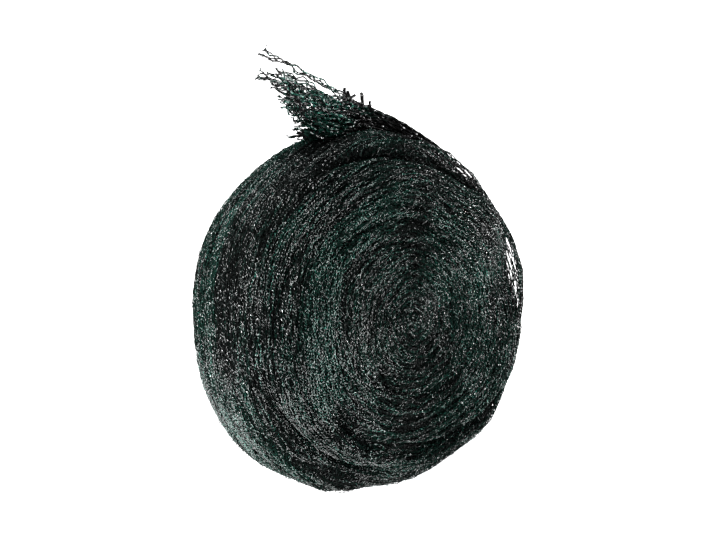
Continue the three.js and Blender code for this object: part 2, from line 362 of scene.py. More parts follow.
@dataclass
class RollForm:
    """The wound form of the roll, as its solid has it, in millimetres."""

    radius: float = 75.0
    front_bulge: float = 32.0
    back_bulge: float = 34.0
    front_squareness: float = 5.0
    back_squareness: float = 6.0
    axis_height: float = 73.0
    outline: tuple[float, ...] = (75, 73, 70.5, 75, 75.5, 77, 74.5, 76.5, 76.5, 75, 75, 75)
    turns: int = 22
    tightening: float = 0.15
    row_heights: tuple[float, ...] = (0.6, 0.1, -0.7)
    crown_gap: float = 3.0
    lump_height: float = 0.9
    crease_fade_deg: float = 24.0
    creases: tuple[Crease, ...] = (
        Crease(from_deg=30, to_deg=150, from_mm=67, to_mm=75, depth=5.5, spread=3.6, step=2.4),
        Crease(from_deg=126, to_deg=268, from_mm=75, to_mm=76, depth=2, spread=3.6, step=2),
        Crease(from_deg=212, to_deg=336, from_mm=49, to_mm=71, depth=3, spread=3.6, step=1.2),
        Crease(from_deg=210, to_deg=276, from_mm=73, to_mm=66, depth=1.6, spread=3, step=0.8),
    )
    drawn_in_foot: Crease = Crease(from_deg=196, to_deg=318, from_mm=68, to_mm=68, depth=5, spread=13)
    # Shallow folds between bundles of turns, which the solid leaves out.
    furrows: tuple[Crease, ...] = (
        Crease(from_deg=58, to_deg=130, from_mm=41.7, to_mm=55.3, depth=1.7, spread=1.3),
        Crease(from_deg=43, to_deg=150, from_mm=35.2, to_mm=51.3, depth=2.2, spread=1.5),
        Crease(from_deg=58, to_deg=140, from_mm=25.7, to_mm=41.3, depth=1.6, spread=1.3),
        Crease(from_deg=206, to_deg=322, from_mm=26, to_mm=36, depth=1.8, spread=2.2),
        Crease(from_deg=194, to_deg=270, from_mm=78, to_mm=63.5, depth=2.8, spread=1.5),
        Crease(from_deg=194, to_deg=262, from_mm=93, to_mm=70, depth=2.8, spread=1.8),
        Crease(from_deg=234, to_deg=296, from_mm=50, to_mm=58.5, depth=1.8, spread=1.5),
        Crease(from_deg=256, to_deg=336, from_mm=51.5, to_mm=74, depth=3.2, spread=1.8),
        Crease(from_deg=132, to_deg=188, from_mm=63, to_mm=72.5, depth=1.9, spread=1.3),
        Crease(from_deg=102, to_deg=166, from_mm=64, to_mm=92, depth=0.9, spread=1.8),
        Crease(from_deg=225, to_deg=340, from_mm=6, to_mm=13, depth=0.9, spread=1.2),
    )
    # Two narrow slots at the bottom of the top gap, in place of the solid's wider crease.
    slots: tuple[Crease, ...] = (
        Crease(from_deg=30, to_deg=100, from_mm=74, to_mm=70, depth=7, spread=2.3),
        Crease(from_deg=76, to_deg=130, from_mm=67.5, to_mm=81.5, depth=7, spread=2.2),
    )
    bridged_deg: tuple[float, float] = (116.0, 200.0)
    bridged_fade_deg: float = 10.0
    lump_share: float = 0.8
    lump_turn: float = 2.0
    section_steps: int = 601
    round_steps: int = 72
    steps_each_turn: int = 20
    shift: Array = field(init=False)
    length: float = field(init=False)

    def __post_init__(self) -> None:
        """Walk along the section once, and find where the solid's own origin lies."""
        turn = np.linspace(0.0, math.pi, self.section_steps)
        front = turn < math.pi / 2
        power = 2.0 / np.where(front, self.front_squareness, self.back_squareness)
        self._radii = self.radius * np.clip(np.sin(turn), 0.0, None) ** power
        self._depths = np.where(front, -self.front_bulge, self.back_bulge) * np.abs(np.cos(turn)) ** power
        steps = np.hypot(np.diff(self._radii), np.diff(self._depths))
        self._walked = np.concatenate([[0.0], np.cumsum(steps)])
        self.length = float(self._walked[-1])
        self.shift = np.zeros(3)
        starts = len(self.row_heights)
        rows = np.arange(starts * (self.turns - 1) + 1)[:, None] / starts
        share = np.arange(self.round_steps)[None, :] / self.round_steps
        grid = self.skin(FULL_TURN * share + 0.0 * rows, self.turn_distance(rows + share))
        low = np.array(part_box("roll")[0]) / MM
        self.shift = low - grid.reshape(-1, 3).min(axis=0)

    def profile(self, distance: Array) -> tuple[Array, Array]:
        """Radius and depth at a distance along the section."""
        radius = np.interp(distance, self._walked, self._radii)
        return radius, np.interp(distance, self._walked, self._depths)

    def turn_distance(self, turns: Array) -> Array:
        """Follow the winding along the section.

        Args:
            turns: turns wound so far.

        Returns:
            The distance along the section that they have reached.
        """
        share = turns / (0.5 * self.turns) - 1.0
        reach = (0.5 * self.length - self.crown_gap) / (1.0 - self.tightening)
        return 0.5 * self.length + reach * share * (1.0 - self.tightening * share * share)

    def outline_share(self, angle: Array) -> Array:
        """Read the uneven outline, a smooth closed curve through its radii.

        Args:
            angle: angle round the axis.

        Returns:
            The share of the mean radius at each angle.
        """
        table = np.array(self.outline, float)
        at = (angle % FULL_TURN) / FULL_TURN * len(table)
        first = np.floor(at).astype(int)
        t = at - first
        a, b, c, d = (table[(first + k) % len(table)] for k in (-1, 0, 1, 2))
        curve = b + 0.5 * t * (c - a + t * (2 * a - 5 * b + 4 * c - d + t * (3 * (b - c) + d - a)))
        return curve / self.radius

    def across(
            self, creases: Sequence[Crease], angle: Array, distance: Array,
    ) -> Iterator[tuple[Crease, Array, Array]]:
        """Walk over some creases.

        Args:
            creases: the creases to walk over.
            angle: angle of each point round the axis.
            distance: distance of each point along the section.

        Yields:
            Each crease, how fully it has opened at each point, and how far across it the point lies.
        """
        deg = np.degrees(angle) % 360.0
        for crease in creases:
            begun = smooth(deg, crease.from_deg, crease.from_deg + self.crease_fade_deg)
            ended = smooth(deg, crease.to_deg - self.crease_fade_deg, crease.to_deg)
            share = np.clip((deg - crease.from_deg) / (crease.to_deg - crease.from_deg), 0.0, 1.0)
            middle = crease.from_mm + share * (crease.to_mm - crease.from_mm)
            yield crease, begun * (1.0 - ended), distance - middle

    def sunk(self, creases: Sequence[Crease], angle: Array, distance: Array) -> Array:
        """How far some creases sink the surface."""
        return sum(opened * crease.depth * np.exp(-((off / crease.spread) ** 2))
                   for crease, opened, off in self.across(creases, angle, distance))

    def open_creases(self, angle: Array, distance: Array) -> Array:
        """How far the main creases stay open where nothing bridges them. The top gap narrows to the slots."""
        bridged = window(np.degrees(angle) % 360.0, *self.bridged_deg, self.bridged_fade_deg)
        return (1.0 - bridged) * self.sunk(self.creases[1:], angle, distance)

    def lap(self, angle: Array, distance: Array) -> Array:
        """Lap the turn behind each main crease over it.

        Args:
            angle: angle of each point round the axis.
            distance: distance of each point along the section.

        Returns:
            How far the surface rises at each point.
        """
        height = np.zeros(np.broadcast(angle, distance).shape)
        for crease, opened, off in self.across(self.creases, angle, distance):
            risen = smooth(off, 0.0, 2 * crease.spread)
            fallen = smooth(off, 6 * crease.spread, 14 * crease.spread)
            height += opened * crease.step * (risen * (1 - fallen))
        return height

    @staticmethod
    def lump(angle: Array, distance: Array) -> Array:
        """Slow lumps of a roll wound by hand, from -1 to 1."""
        return np.sin(3 * angle + distance / 17) * np.cos(2 * angle - distance / 23)

    def ridge(self, angle: Array, distance: Array) -> Array:
        """Raise the crests of the wound turns and sink the valleys between them.

        Args:
            angle: angle of each point round the axis.
            distance: distance of each point along the section.

        Returns:
            The height at each point.
        """
        turns = np.linspace(0.0, self.turns, self.steps_each_turn * self.turns + 1)
        reached = np.interp(distance, self.turn_distance(turns), turns)
        phase = (reached - angle / FULL_TURN) % 1.0
        count = len(self.row_heights)
        heights = [*self.row_heights, self.row_heights[0]]
        return np.interp(phase, np.arange(count + 1) / count, heights)

    def skin(self, angle: Array, distance: Array, lift: Any = 0.0, ridged: float = 1.0) -> Array:
        """Points of the roll's surface.

        Args:
            angle: angle round the axis, from +X and counter-clockwise as seen from the front.
            distance: distance along the section from the crown of the front face.
            lift: height above the solid's surface.
            ridged: share of the turns' crests and valleys to follow.

        Returns:
            Points in the part's own frame, in millimetres.
        """
        radius, depth = self.profile(distance)
        after, before = self.profile(distance + 1.0), self.profile(distance - 1.0)
        run, fall = after[0] - before[0], after[1] - before[1]
        scale = np.maximum(np.hypot(run, fall), TINY)
        uneven = ridged * self.ridge(angle, distance) * (1.0 + self.lump_share * self.lump(angle, distance))
        height = lift + uneven + self.lump_height * self.lump(angle + self.lump_turn, distance)
        height = height + self.lap(angle, distance)
        height = height - self.sunk((*self.creases, self.drawn_in_foot), angle, distance)
        wide = np.maximum((radius + fall / scale * height) * self.outline_share(angle), 0.0)
        up = np.maximum(self.axis_height + wide * np.sin(angle), 0.0)
        inward = depth - run / scale * height
        return np.stack(np.broadcast_arrays(wide * np.cos(angle), inward, up), axis=-1) + self.shift

    def outward(self, angle: Array, distance: Array, lift: Array) -> Array:
        """Directions away from the surface, read half a millimetre to both sides of a lift."""
        return unit(self.skin(angle, distance, lift + 0.5) - self.skin(angle, distance, lift - 0.5))


@dataclass
class Strands:
    """Strands of yarn, each a thin three-sided twisted tape through the same number of points.

    The arrays have one row for each strand and one column for each point, in millimetres.
    """

    points: Array
    up: Array
    half: Array
    roll: Array
    tint: Array
    tone: Array
    gloss: Array
    corners: tuple[tuple[float, float], ...] = ((90.0, 0.8), (210.0, 1.1), (330.0, 1.1))

    def cut(self, begin: int, end: int) -> "Strands":
        """Take the stretch of every strand from one point to another."""
        arrays = (self.points, self.up, self.half, self.roll, self.tint, self.tone, self.gloss)
        return Strands(*(values[:, begin:end + 1] for values in arrays))

    def rings(self) -> Array:
        """Set the corners round each point.

        Returns:
            A vertex for each strand, point and corner.
        """
        forward = unit(np.gradient(self.points, axis=1))
        side = unit(np.cross(self.up, forward))
        above = np.cross(forward, side)
        rings = []
        for degrees, reach in self.corners:
            turn = (self.roll + math.radians(degrees))[..., None]
            spread = (self.half * reach)[..., None]
            rings.append(self.points + spread * (np.cos(turn) * side + np.sin(turn) * above))
        return np.stack(rings, axis=2)

    @staticmethod
    def faces(count: int, length: int, sides: int) -> tuple[Array, Array]:
        """Join the corners into faces.

        Args:
            count: the number of strands.
            length: the number of points along each.
            sides: the number of corners round each point.

        Returns:
            The vertices of the faces along the strands, and of the caps that close their ends.
        """
        ring = (np.arange(count)[:, None] * length + np.arange(length)[None, :]) * sides
        here, ahead = ring[:, :-1], ring[:, 1:]
        quads = []
        for k in range(sides):
            n = (k + 1) % sides
            quads.append(np.stack([here + k, here + n, ahead + n, ahead + k], axis=-1))
        corners = np.arange(sides)
        caps = np.concatenate([ring[:, :1] + corners[::-1], ring[:, -1:] + corners])
        return np.stack(quads, axis=2).reshape(-1, 4), caps

    def build(self, name: str, yarns: Yarns) -> bpy.types.Object:
        """Join all the strands into one mesh.

        Args:
            name: the piece's name.
            yarns: the yarn's finishes.

        Returns:
            The piece, riding on the part's body.
        """
        vertices = self.rings()
        count, length, sides = vertices.shape[:3]
        quads, caps = self.faces(count, length, sides)
        mesh = bpy.data.meshes.new(name)
        mesh.vertices.add(count * length * sides)
        mesh.vertices.foreach_set("co", (vertices * MM).astype(np.float32).ravel())
        loops = np.concatenate([quads.ravel(), caps.ravel()]).astype(np.int32)
        mesh.loops.add(loops.size)
        mesh.loops.foreach_set("vertex_index", loops)
        starts = np.concatenate([np.arange(len(quads)) * 4, quads.size + np.arange(len(caps)) * sides])
        mesh.polygons.add(starts.size)
        mesh.polygons.foreach_set("loop_start", starts.astype(np.int32))
        mesh.update(calc_edges=True)
        mesh.validate()
        for label, values in (("tint", self.tint), ("tone", self.tone)):
            attribute = mesh.attributes.new(label, "FLOAT", "POINT")
            attribute.data.foreach_set("value", np.repeat(values.ravel(), sides).astype(np.float32))
        slots = np.concatenate([np.repeat(~self.gloss[:, :-1].ravel(), sides), np.ones(len(caps), bool)])
        mesh.polygons.foreach_set("material_index", slots.astype(np.int32))
        return finish_piece(bpy.data.objects.new(name, mesh), yarns.glossy, yarns.dull_shaded)


def finish_piece(piece: bpy.types.Object, *materials: bpy.types.Material) -> bpy.types.Object:
    """Link a finished piece, dress it and let it ride on the part's body.

    Args:
        piece: the new object.
        materials: its finishes.

    Returns:
        The same piece.
    """
    bpy.context.scene.collection.objects.link(piece)
    for material in materials:
        piece.data.materials.append(material)
    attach(piece, BODY)
    return piece


@dataclass(frozen=True)
class Band:
    """A stretch of the winding where more or less of the yarn is green, or glints. Where it glints is partly
    the yarn's own gloss and partly painted light and shade.
    """

    from_mm: float
    to_mm: float
    from_deg: float
    to_deg: float
    share: float


@dataclass(frozen=True)
class YarnColours:
    """Where on the roll the yarn is green and where it is black, and where shade and light are painted on it.
    """

    everywhere: float = 0.37
    green_bands: tuple[Band, ...] = (
        Band(from_mm=104, to_mm=124, from_deg=100, to_deg=262, share=0.3),
        Band(from_mm=80, to_mm=104, from_deg=100, to_deg=160, share=-0.15),
        Band(from_mm=43, to_mm=58, from_deg=96, to_deg=220, share=0.65),
        Band(from_mm=16, to_mm=50, from_deg=-20, to_deg=70, share=0.3),
        Band(from_mm=82, to_mm=110, from_deg=195, to_deg=255, share=0.25),
        Band(from_mm=30, to_mm=60, from_deg=285, to_deg=345, share=0.3),
        Band(from_mm=60, to_mm=70, from_deg=255, to_deg=330, share=0.25),
        Band(from_mm=76, to_mm=102, from_deg=110, to_deg=195, share=-0.2),
        Band(from_mm=130, to_mm=146, from_deg=-30, to_deg=160, share=0.45),
        Band(from_mm=160, to_mm=176, from_deg=120, to_deg=300, share=0.45),
    )
    # Bands of more or fewer glossy stitches. Some follow the yarn's own gloss, and some are painted light and
    # shade on the roll.
    gloss_and_painted_light_bands: tuple[Band, ...] = (
        Band(from_mm=14, to_mm=84, from_deg=192, to_deg=236, share=0.25),
        Band(from_mm=54, to_mm=80, from_deg=185, to_deg=232, share=0.55),
        Band(from_mm=74, to_mm=90, from_deg=206, to_deg=232, share=-0.45),
        Band(from_mm=68, to_mm=77, from_deg=236, to_deg=254, share=0.6),
        Band(from_mm=40, to_mm=58, from_deg=120, to_deg=192, share=0.35),
        Band(from_mm=77, to_mm=85, from_deg=162, to_deg=177, share=0.6),
        Band(from_mm=78, to_mm=130, from_deg=155, to_deg=205, share=-0.15),
        Band(from_mm=58, to_mm=84, from_deg=236, to_deg=276, share=0.5),
        Band(from_mm=44, to_mm=56, from_deg=222, to_deg=238, share=0.75),
        Band(from_mm=38, to_mm=48, from_deg=188, to_deg=208, share=-0.3),
        Band(from_mm=14, to_mm=27, from_deg=188, to_deg=218, share=0.4),
        Band(from_mm=58, to_mm=74, from_deg=110, to_deg=150, share=0.3),
        Band(from_mm=58, to_mm=76, from_deg=146, to_deg=168, share=-0.3),
        Band(from_mm=54, to_mm=68, from_deg=74, to_deg=100, share=-0.25),
        Band(from_mm=80, to_mm=104, from_deg=105, to_deg=140, share=0.4),
        Band(from_mm=76, to_mm=98, from_deg=55, to_deg=110, share=0.2),
        Band(from_mm=5, to_mm=45, from_deg=60, to_deg=170, share=-0.25),
        Band(from_mm=28, to_mm=75, from_deg=245, to_deg=340, share=-0.3),
        Band(from_mm=84, to_mm=104, from_deg=224, to_deg=300, share=-0.2),
        Band(from_mm=96, to_mm=130, from_deg=196, to_deg=226, share=0.9),
        Band(from_mm=88, to_mm=104, from_deg=155, to_deg=190, share=-0.25),
        Band(from_mm=100, to_mm=128, from_deg=100, to_deg=136, share=0.6),
        Band(from_mm=42, to_mm=61, from_deg=38, to_deg=78, share=0.55),
        Band(from_mm=3, to_mm=28, from_deg=250, to_deg=400, share=-0.4),
    )
    cells: Wander = Wander((40.0, 92.0), (0.6, 0.6))
    blend: float = 0.3
    least_tint: float = 0.1
    most_tint: float = 0.8
    patchiness: float = 0.15
    band_fade_deg: float = 12.0
    band_fade_mm: float = 2.5
    cloudiness: float = 0.24
    cloud_sizes_mm: tuple[float, float] = (9.0, 34.0)
    cloud_waves: int = 24
    cloud_seed: int = 5
    furrow_shade: float = 0.9
    shade_each_mm: float = 0.17
    least_open: float = 0.12

    def tint(self, draw: np.random.Generator, angle: Array, distance: Array, along: Array) -> Array:
        """Choose each stitch's yarn.

        Args:
            draw: the source of random numbers.
            angle: angle of each point round the roll.
            distance: distance of each point along the roll's section.
            along: distance of each point along its strand.

        Returns:
            0 for black and 1 for green, with blends between.
        """
        share = self.everywhere + self.banded(self.green_bands, angle, distance)
        share += self.patchiness * self.patches(angle + 1.0, distance)
        limit = 0.5 + 0.5 * np.clip(self.cells.sway(draw, along), -1, 1)
        green = smooth(share - limit, -self.blend, self.blend)
        return self.least_tint + (self.most_tint - self.least_tint) * green

    def banded(self, bands: Sequence[Band], angle: Array, distance: Array) -> Array:
        """Add up the shares of some bands.

        Args:
            bands: the bands.
            angle: angle of each point round the roll.
            distance: distance of each point along the roll's section.

        Returns:
            The share at each point.
        """
        share = np.zeros(angle.shape)
        deg = np.degrees(angle) % 360.0
        for band in bands:
            off = (deg - 0.5 * (band.from_deg + band.to_deg) + 180.0) % 360.0 - 180.0
            half = 0.5 * (band.to_deg - band.from_deg)
            within = band.share * window(off, -half, half, self.band_fade_deg)
            share += within * window(distance, band.from_mm, band.to_mm, self.band_fade_mm)
        return share

    def clouds(self, points: Array) -> Array:
        """Spread irregular cloudy patches through space, from waves in chance directions.

        Args:
            points: where to read them, in millimetres.

        Returns:
            About -2 to 2 at each point.
        """
        draw = np.random.default_rng(self.cloud_seed)
        total = np.zeros(points.shape[:-1])
        for _ in range(self.cloud_waves):
            way = unit(draw.normal(0.0, 1.0, 3)) * FULL_TURN / draw.uniform(*self.cloud_sizes_mm)
            total += np.sin(points @ way + draw.uniform(0.0, FULL_TURN))
        return total / math.sqrt(0.5 * self.cloud_waves)

    @staticmethod
    def patches(angle: Array, distance: Array) -> Array:
        """Spread patches over the roll that follow its winding.

        Args:
            angle: angle of each point round the roll.
            distance: distance of each point along the roll's section.

        Returns:
            About -1.5 to 1.5 at each point.
        """
        large = np.sin(3 * angle + distance / 6.3 + 0.7) * np.sin(5 * angle - distance / 9.1 + 2.1)
        small = np.sin(11 * angle + distance / 3.1 + 1.9) * np.sin(7 * angle - distance / 4.3)
        return large + 0.6 * small

    def open_share(self, form: RollForm, angle: Array, distance: Array) -> Array:
        """How openly the yarn lies to the light, for the painted shade that darkens it and dulls its glints
        in creases.

        Args:
            form: the roll.
            angle: angle of each point round the roll.
            distance: distance of each point along the roll's section.

        Returns:
            1 where it lies open, down to nearly 0 in creases.
        """
        furrows = self.furrow_shade * form.sunk(form.furrows, angle, distance)
        sunk = form.open_creases(angle, distance) + furrows + form.sunk(form.slots, angle, distance)
        return np.clip(1.0 - self.shade_each_mm * sunk, self.least_open, 1.0)


class Depth(Enum):
    """How deep a layer of strands lies in the roll."""

    UNDER = "under"
    MIDDLE = "middle"
    TOP = "top"


@dataclass(frozen=True)
class StrandLayer:
    """One layer of the wound net."""

    seed: int
    strands: int
    stitch_mm: float
    back_stitch_mm: float
    lift: float
    # Painted shade: the deeper layers get a lower light and fewer glossy stitches, for the shade of the
    # layers above.
    light: float
    loops: float
    glossy: float
    half_mm: float


def is_bead(shape: tuple[int, int]) -> Array:
    """Tell which points of the strands are beads of the knitted chain and not the necks between them."""
    return (np.arange(shape[1])[None, :] + np.arange(shape[0])[:, None]) % 2 == 0


def twist(draw: np.random.Generator, shape: tuple[int, int]) -> Array:
    """Twist each strand by a chance step at each stitch, in radians from its start."""
    return np.cumsum(draw.uniform(*TWIST_STEP, shape), axis=1)


def stitch_tones(draw: np.random.Generator, shape: tuple[int, int]) -> Array:
    """Lighten or darken each stitch by its own chance, to a tone of about 1 on average."""
    return np.exp(draw.normal(0.0, TONE_SPREAD, shape)) * draw.uniform(*STRAND_TONES, (shape[0], 1))


def stitch_gloss(draw: np.random.Generator, shape: tuple[int, int], share: Any, joined: float = 0.0) -> Array:
    """Choose the stitches that turn their glossy side out: the beads of the chain first, and then its necks.

    Args:
        draw: the source of random numbers.
        shape: the number of strands and of points.
        share: share of the beads that gleam, for all or for each point; what is over 1 goes to the necks.
        joined: share of the necks between two glossy beads that gleam too, which makes longer dashes.

    Returns:
        True for each glossy stitch.
    """
    glossy = draw.random(shape) < np.where(is_bead(shape), share, share - 1.0)
    if joined:
        between = glossy[:, :-2] & glossy[:, 2:]
        glossy[:, 1:-1] |= between & (draw.random(shape)[:, 1:-1] < joined)
    return glossy


def bead_sizes(draw: np.random.Generator, shape: tuple[int, int], half: float) -> Array:
    """Swell and narrow a strand at each stitch, as a knitted chain does.

    Args:
        draw: the source of random numbers.
        shape: the number of strands and of points.
        half: mean half thickness in millimetres.

    Returns:
        Half thickness at each point.
    """
    return half * np.where(is_bead(shape), BEAD_SIZE, NECK_SIZE) * draw.uniform(*SIZE_SPREAD, shape)


@dataclass(frozen=True)
class Dip:
    """A shallow place in the roll with soft edges."""

    depth: float
    from_deg: float
    to_deg: float
    fade_deg: float
    from_mm: float
    to_mm: float
    fade_mm: float


@dataclass
class WoundRoll:
    """The roll: a dark core of inner turns, under layers of strands that follow the winding."""

    form: RollForm
    colours: YarnColours = field(default_factory=YarnColours)
    core_sink: float = 1.9
    core_reach: float = 2.4
    core_round: int = 120
    core_across: int = 84
    front_ends_mm: float = 76.0
    rim_ends_mm: float = 103.0
    wall_ends_mm: float = 130.0
    face_begins_mm: tuple[float, float] = (26.0, 42.0)
    crown_mm: float = 0.4
    overrun_turns: float = 0.45
    calm_turns: float = 2.5
    walk_steps: int = 6000
    phase_spread: float = 0.2
    start_spread_mm: float = 60.0
    mesh_leg_mm: float = 8.0
    pair_mm: float = 0.3
    stray: Wander = Wander((11.0, 31.0, 90.0), (0.3, 0.25, 0.2))
    wall_stray: float = 0.4
    face_stray: float = 0.6
    slipped: Wander = Wander((9.0, 17.0, 41.0), (0.6, 0.6, 0.6))
    loop_aside_mm: float = 1.5
    loop_rise_mm: float = 1.4
    bundle_mm: float = 4.6
    bundle_sway: float = 2.2
    bundle_pull: float = 0.85
    bundle_rise: float = 0.4
    parted_deg: tuple[tuple[float, float], ...] = ((40.0, 125.0), (232.0, 325.0))
    parted_fade_deg: float = 18.0
    patch_limit: float = 0.8
    calm_share: float = 0.08
    calm_creases: float = 0.3
    calm_from_mm: float = 0.02
    calm_to_mm: float = 0.4
    wall_jitter: float = 0.17
    face_jitter: float = 0.24
    lift_jitter: float = 0.7
    wall_chain_mm: float = 0.22
    face_chain_mm: float = 0.3
    chain_spread: tuple[float, float] = (0.4, 1.3)
    joined_necks: float = 0.3
    ridged: float = 0.35
    floor_gap: float = 0.62
    deepened: float = 0.55
    bridge: float = 0.6
    # Under the slack strands at the right, at the front of the foot, and under those at the top right.
    dips: tuple[Dip, ...] = (
        Dip(depth=5.6, from_deg=0, to_deg=24.5, fade_deg=13, from_mm=52, to_mm=92, fade_mm=8),
        Dip(depth=1.6, from_deg=-140, to_deg=-92, fade_deg=14, from_mm=66, to_mm=104, fade_mm=10),
        Dip(depth=3.2, from_deg=53, to_deg=78, fade_deg=8, from_mm=76, to_mm=104, fade_mm=4),
    )
    layers: dict[Depth, StrandLayer] = field(default_factory=lambda: {
        Depth.UNDER: StrandLayer(
            seed=11, strands=11, stitch_mm=4.4, back_stitch_mm=4.8, lift=-1.2, light=0.5, loops=0.0,
            glossy=0.1, half_mm=0.34),
        Depth.MIDDLE: StrandLayer(
            seed=12, strands=10, stitch_mm=1.1, back_stitch_mm=2.4, lift=-0.45, light=0.8, loops=0.0,
            glossy=0.45, half_mm=0.22),
        Depth.TOP: StrandLayer(
            seed=13, strands=10, stitch_mm=0.7, back_stitch_mm=2.4, lift=0.2, light=1.1, loops=0.7,
            glossy=0.74, half_mm=0.2),
    })

    def dip(self, angle: Array, distance: Array) -> Array:
        """Sink the strands in the dips, the furrows and the creases that stay open.

        Args:
            angle: angle of each point round the roll.
            distance: distance of each point along the roll's section.

        Returns:
            How far the strands sink below the solid's surface, or rise where they bridge its creases.
        """
        deg = (np.degrees(angle) + 180.0) % 360.0 - 180.0
        total = np.zeros(np.broadcast(angle, distance).shape)
        for dip in self.dips:
            within = dip.depth * window(deg, dip.from_deg, dip.to_deg, dip.fade_deg)
            total += within * window(distance, dip.from_mm, dip.to_mm, dip.fade_mm)
        furrows = self.form.sunk((*self.form.furrows, *self.form.slots), angle, distance)
        filled = self.form.sunk(self.form.creases[:1], angle, distance)
        others = self.form.sunk(self.form.creases[1:], angle, distance)
        still_open = self.form.open_creases(angle, distance)
        bridged = filled + self.bridge * (others - still_open)
        return total + furrows + self.deepened * still_open - bridged

    def bundled(self, angle: Array, distance: Array) -> Array:
        """Part the turns into bundles, most above and below mid face, in patches clear of the furrows.

        Args:
            angle: angle of each point round the roll.
            distance: distance of each point along the roll's section.

        Returns:
            How clearly the turns part at each point, up to 1.
        """
        deg = np.degrees(angle) % 360.0
        parted = sum(window(deg, *limits, self.parted_fade_deg) for limits in self.parted_deg)
        patches = self.colours.patches(angle + 4.0, 0.5 * distance)
        patch = smooth(patches, -self.patch_limit, self.patch_limit)
        creases = self.calm_creases * self.form.open_creases(angle, distance)
        sunk = self.form.sunk(self.form.furrows, angle, distance) + creases
        beside = smooth(sunk, self.calm_from_mm, self.calm_to_mm)
        return self.calm_share + (1.0 - self.calm_share) * parted * patch * (1.0 - beside)

    def core(self, material: bpy.types.Material) -> bpy.types.Object:
        """Make the inner turns as one closed skin, just under the strands.

        Args:
            material: their finish.

        Returns:
            The piece.
        """
        shape = bmesh.new()
        bmesh.ops.create_uvsphere(shape, u_segments=self.core_round, v_segments=self.core_across, radius=1.0)
        balls = np.array([vertex.co for vertex in shape.verts])
        angle = np.arctan2(balls[:, 1], balls[:, 0])
        distance = self.form.length * (0.5 - np.arcsin(np.clip(balls[:, 2], -1.0, 1.0)) / math.pi)
        near = [self.dip(angle, distance + self.core_reach * step) for step in (-1.0, -0.5, 0.0, 0.5, 1.0)]
        points = self.form.skin(angle, distance, -self.core_sink - np.max(near, axis=0), self.ridged)
        points[:, 2] = np.maximum(points[:, 2], self.floor_gap)
        for vertex, point in zip(shape.verts, points * MM):
            vertex.co = point
        bmesh.ops.recalc_face_normals(shape, faces=shape.faces)
        for face in shape.faces:
            face.smooth = True
        mesh = bpy.data.meshes.new("inner_turns")
        shape.to_mesh(mesh)
        shape.free()
        return finish_piece(bpy.data.objects.new("inner_turns", mesh), material)

    def reached(self, turns: Array) -> Array:
        """Distance along the section after some turns, kept clear of the two crowns."""
        return np.clip(self.form.turn_distance(turns), self.crown_mm, self.form.length - self.crown_mm)

    def walk(self, plan: StrandLayer) -> tuple[Array, Array]:
        """Step along the winding, in longer steps on the back.

        Args:
            plan: the layer of strands.

        Returns:
            The turns wound at each step, and the length of yarn up to it.
        """
        fine = np.linspace(-self.overrun_turns, self.form.turns + self.overrun_turns, self.walk_steps)
        reached = self.reached(fine)
        radii, _ = self.form.profile(reached)
        steps = np.diff(fine) * FULL_TURN * np.maximum(radii[1:], 1.0)
        walked = np.concatenate([[0.0], np.cumsum(steps)])
        back = float(np.interp(self.wall_ends_mm, reached, walked))
        ahead = np.arange(0.0, back, plan.stitch_mm)
        behind = np.arange(back, walked[-1], plan.back_stitch_mm)
        stitches = np.concatenate([ahead, behind])
        return np.interp(stitches, walked, fine)[None, :], stitches[None, :]

    def route(
            self, plan: StrandLayer, draw: np.random.Generator, turns: Array, stitches: Array,
    ) -> tuple[Array, Array, Array, Array]:
        """Lead one layer of strands round the roll.

        Args:
            plan: the layer of strands.
            draw: the source of random numbers.
            turns: the turns wound at each stitch.
            stitches: the length of yarn up to it.

        Returns:
            Each stitch's angle, distance along the section, lift above the solid and place along its strand.
        """
        index = np.arange(plan.strands)[:, None]
        phase = (index + draw.uniform(-self.phase_spread, self.phase_spread, index.shape)) / plan.strands
        along = stitches + draw.uniform(0.0, self.start_spread_mm, index.shape)
        angle = FULL_TURN * (turns - phase)
        shape = angle.shape
        middle = self.reached(turns) + np.zeros(shape)
        calm = smooth(np.minimum(turns, self.form.turns - turns), 0.0, self.calm_turns)
        on_face = smooth(np.abs(middle - 0.5 * self.form.length), *self.face_begins_mm)
        jitter = self.wall_jitter + (self.face_jitter - self.wall_jitter) * on_face
        swell = FULL_TURN * middle / self.bundle_mm
        swell = swell + self.bundle_sway * self.colours.patches(0.5 * angle + 2.0, 0.3 * middle)
        pairs = self.pair_mm * zigzag(along / (2.0 * self.mesh_leg_mm) + 0.5 * index)
        stray = (self.wall_stray + self.face_stray * on_face) * self.stray.sway(draw, along)
        bundled = self.bundled(angle, middle)
        swing = self.wall_chain_mm + (self.face_chain_mm - self.wall_chain_mm) * on_face
        chain = np.where(is_bead(shape), swing, -swing) * draw.uniform(*self.chain_spread, shape)
        rough = chain + jitter * draw.normal(0.0, 1.0, shape)
        distance = middle + calm * (pairs + stray + self.bundle_pull * bundled * np.sin(swell)) + rough
        loops = plan.loops * np.clip(self.slipped.sway(draw, along) - 1.0, 0.0, None)
        distance = distance + self.loop_aside_mm * loops * np.where(index % 2 == 0, 1.0, -1.0)
        lift = plan.lift - self.bundle_rise * bundled * np.cos(swell) + self.loop_rise_mm * loops
        lift = lift + self.lift_jitter * jitter * draw.normal(0.0, 1.0, shape) - self.dip(angle, distance)
        return angle, distance, lift, along

    def strands(self, plan: StrandLayer, turns: Array, stitches: Array) -> Strands:
        """Lay one layer of strands and choose the yarn of each stitch.

        Args:
            plan: the layer of strands.
            turns: the turns wound at each stitch.
            stitches: the length of yarn up to it.

        Returns:
            The strands, from the middle of the front face to the middle of the back.
        """
        draw = np.random.default_rng(plan.seed)
        angle, distance, lift, along = self.route(plan, draw, turns, stitches)
        shape = angle.shape
        points = self.form.skin(angle, distance, lift, self.ridged)
        points[..., 2] = np.maximum(points[..., 2], self.floor_gap)
        up = self.form.outward(angle, distance, lift)
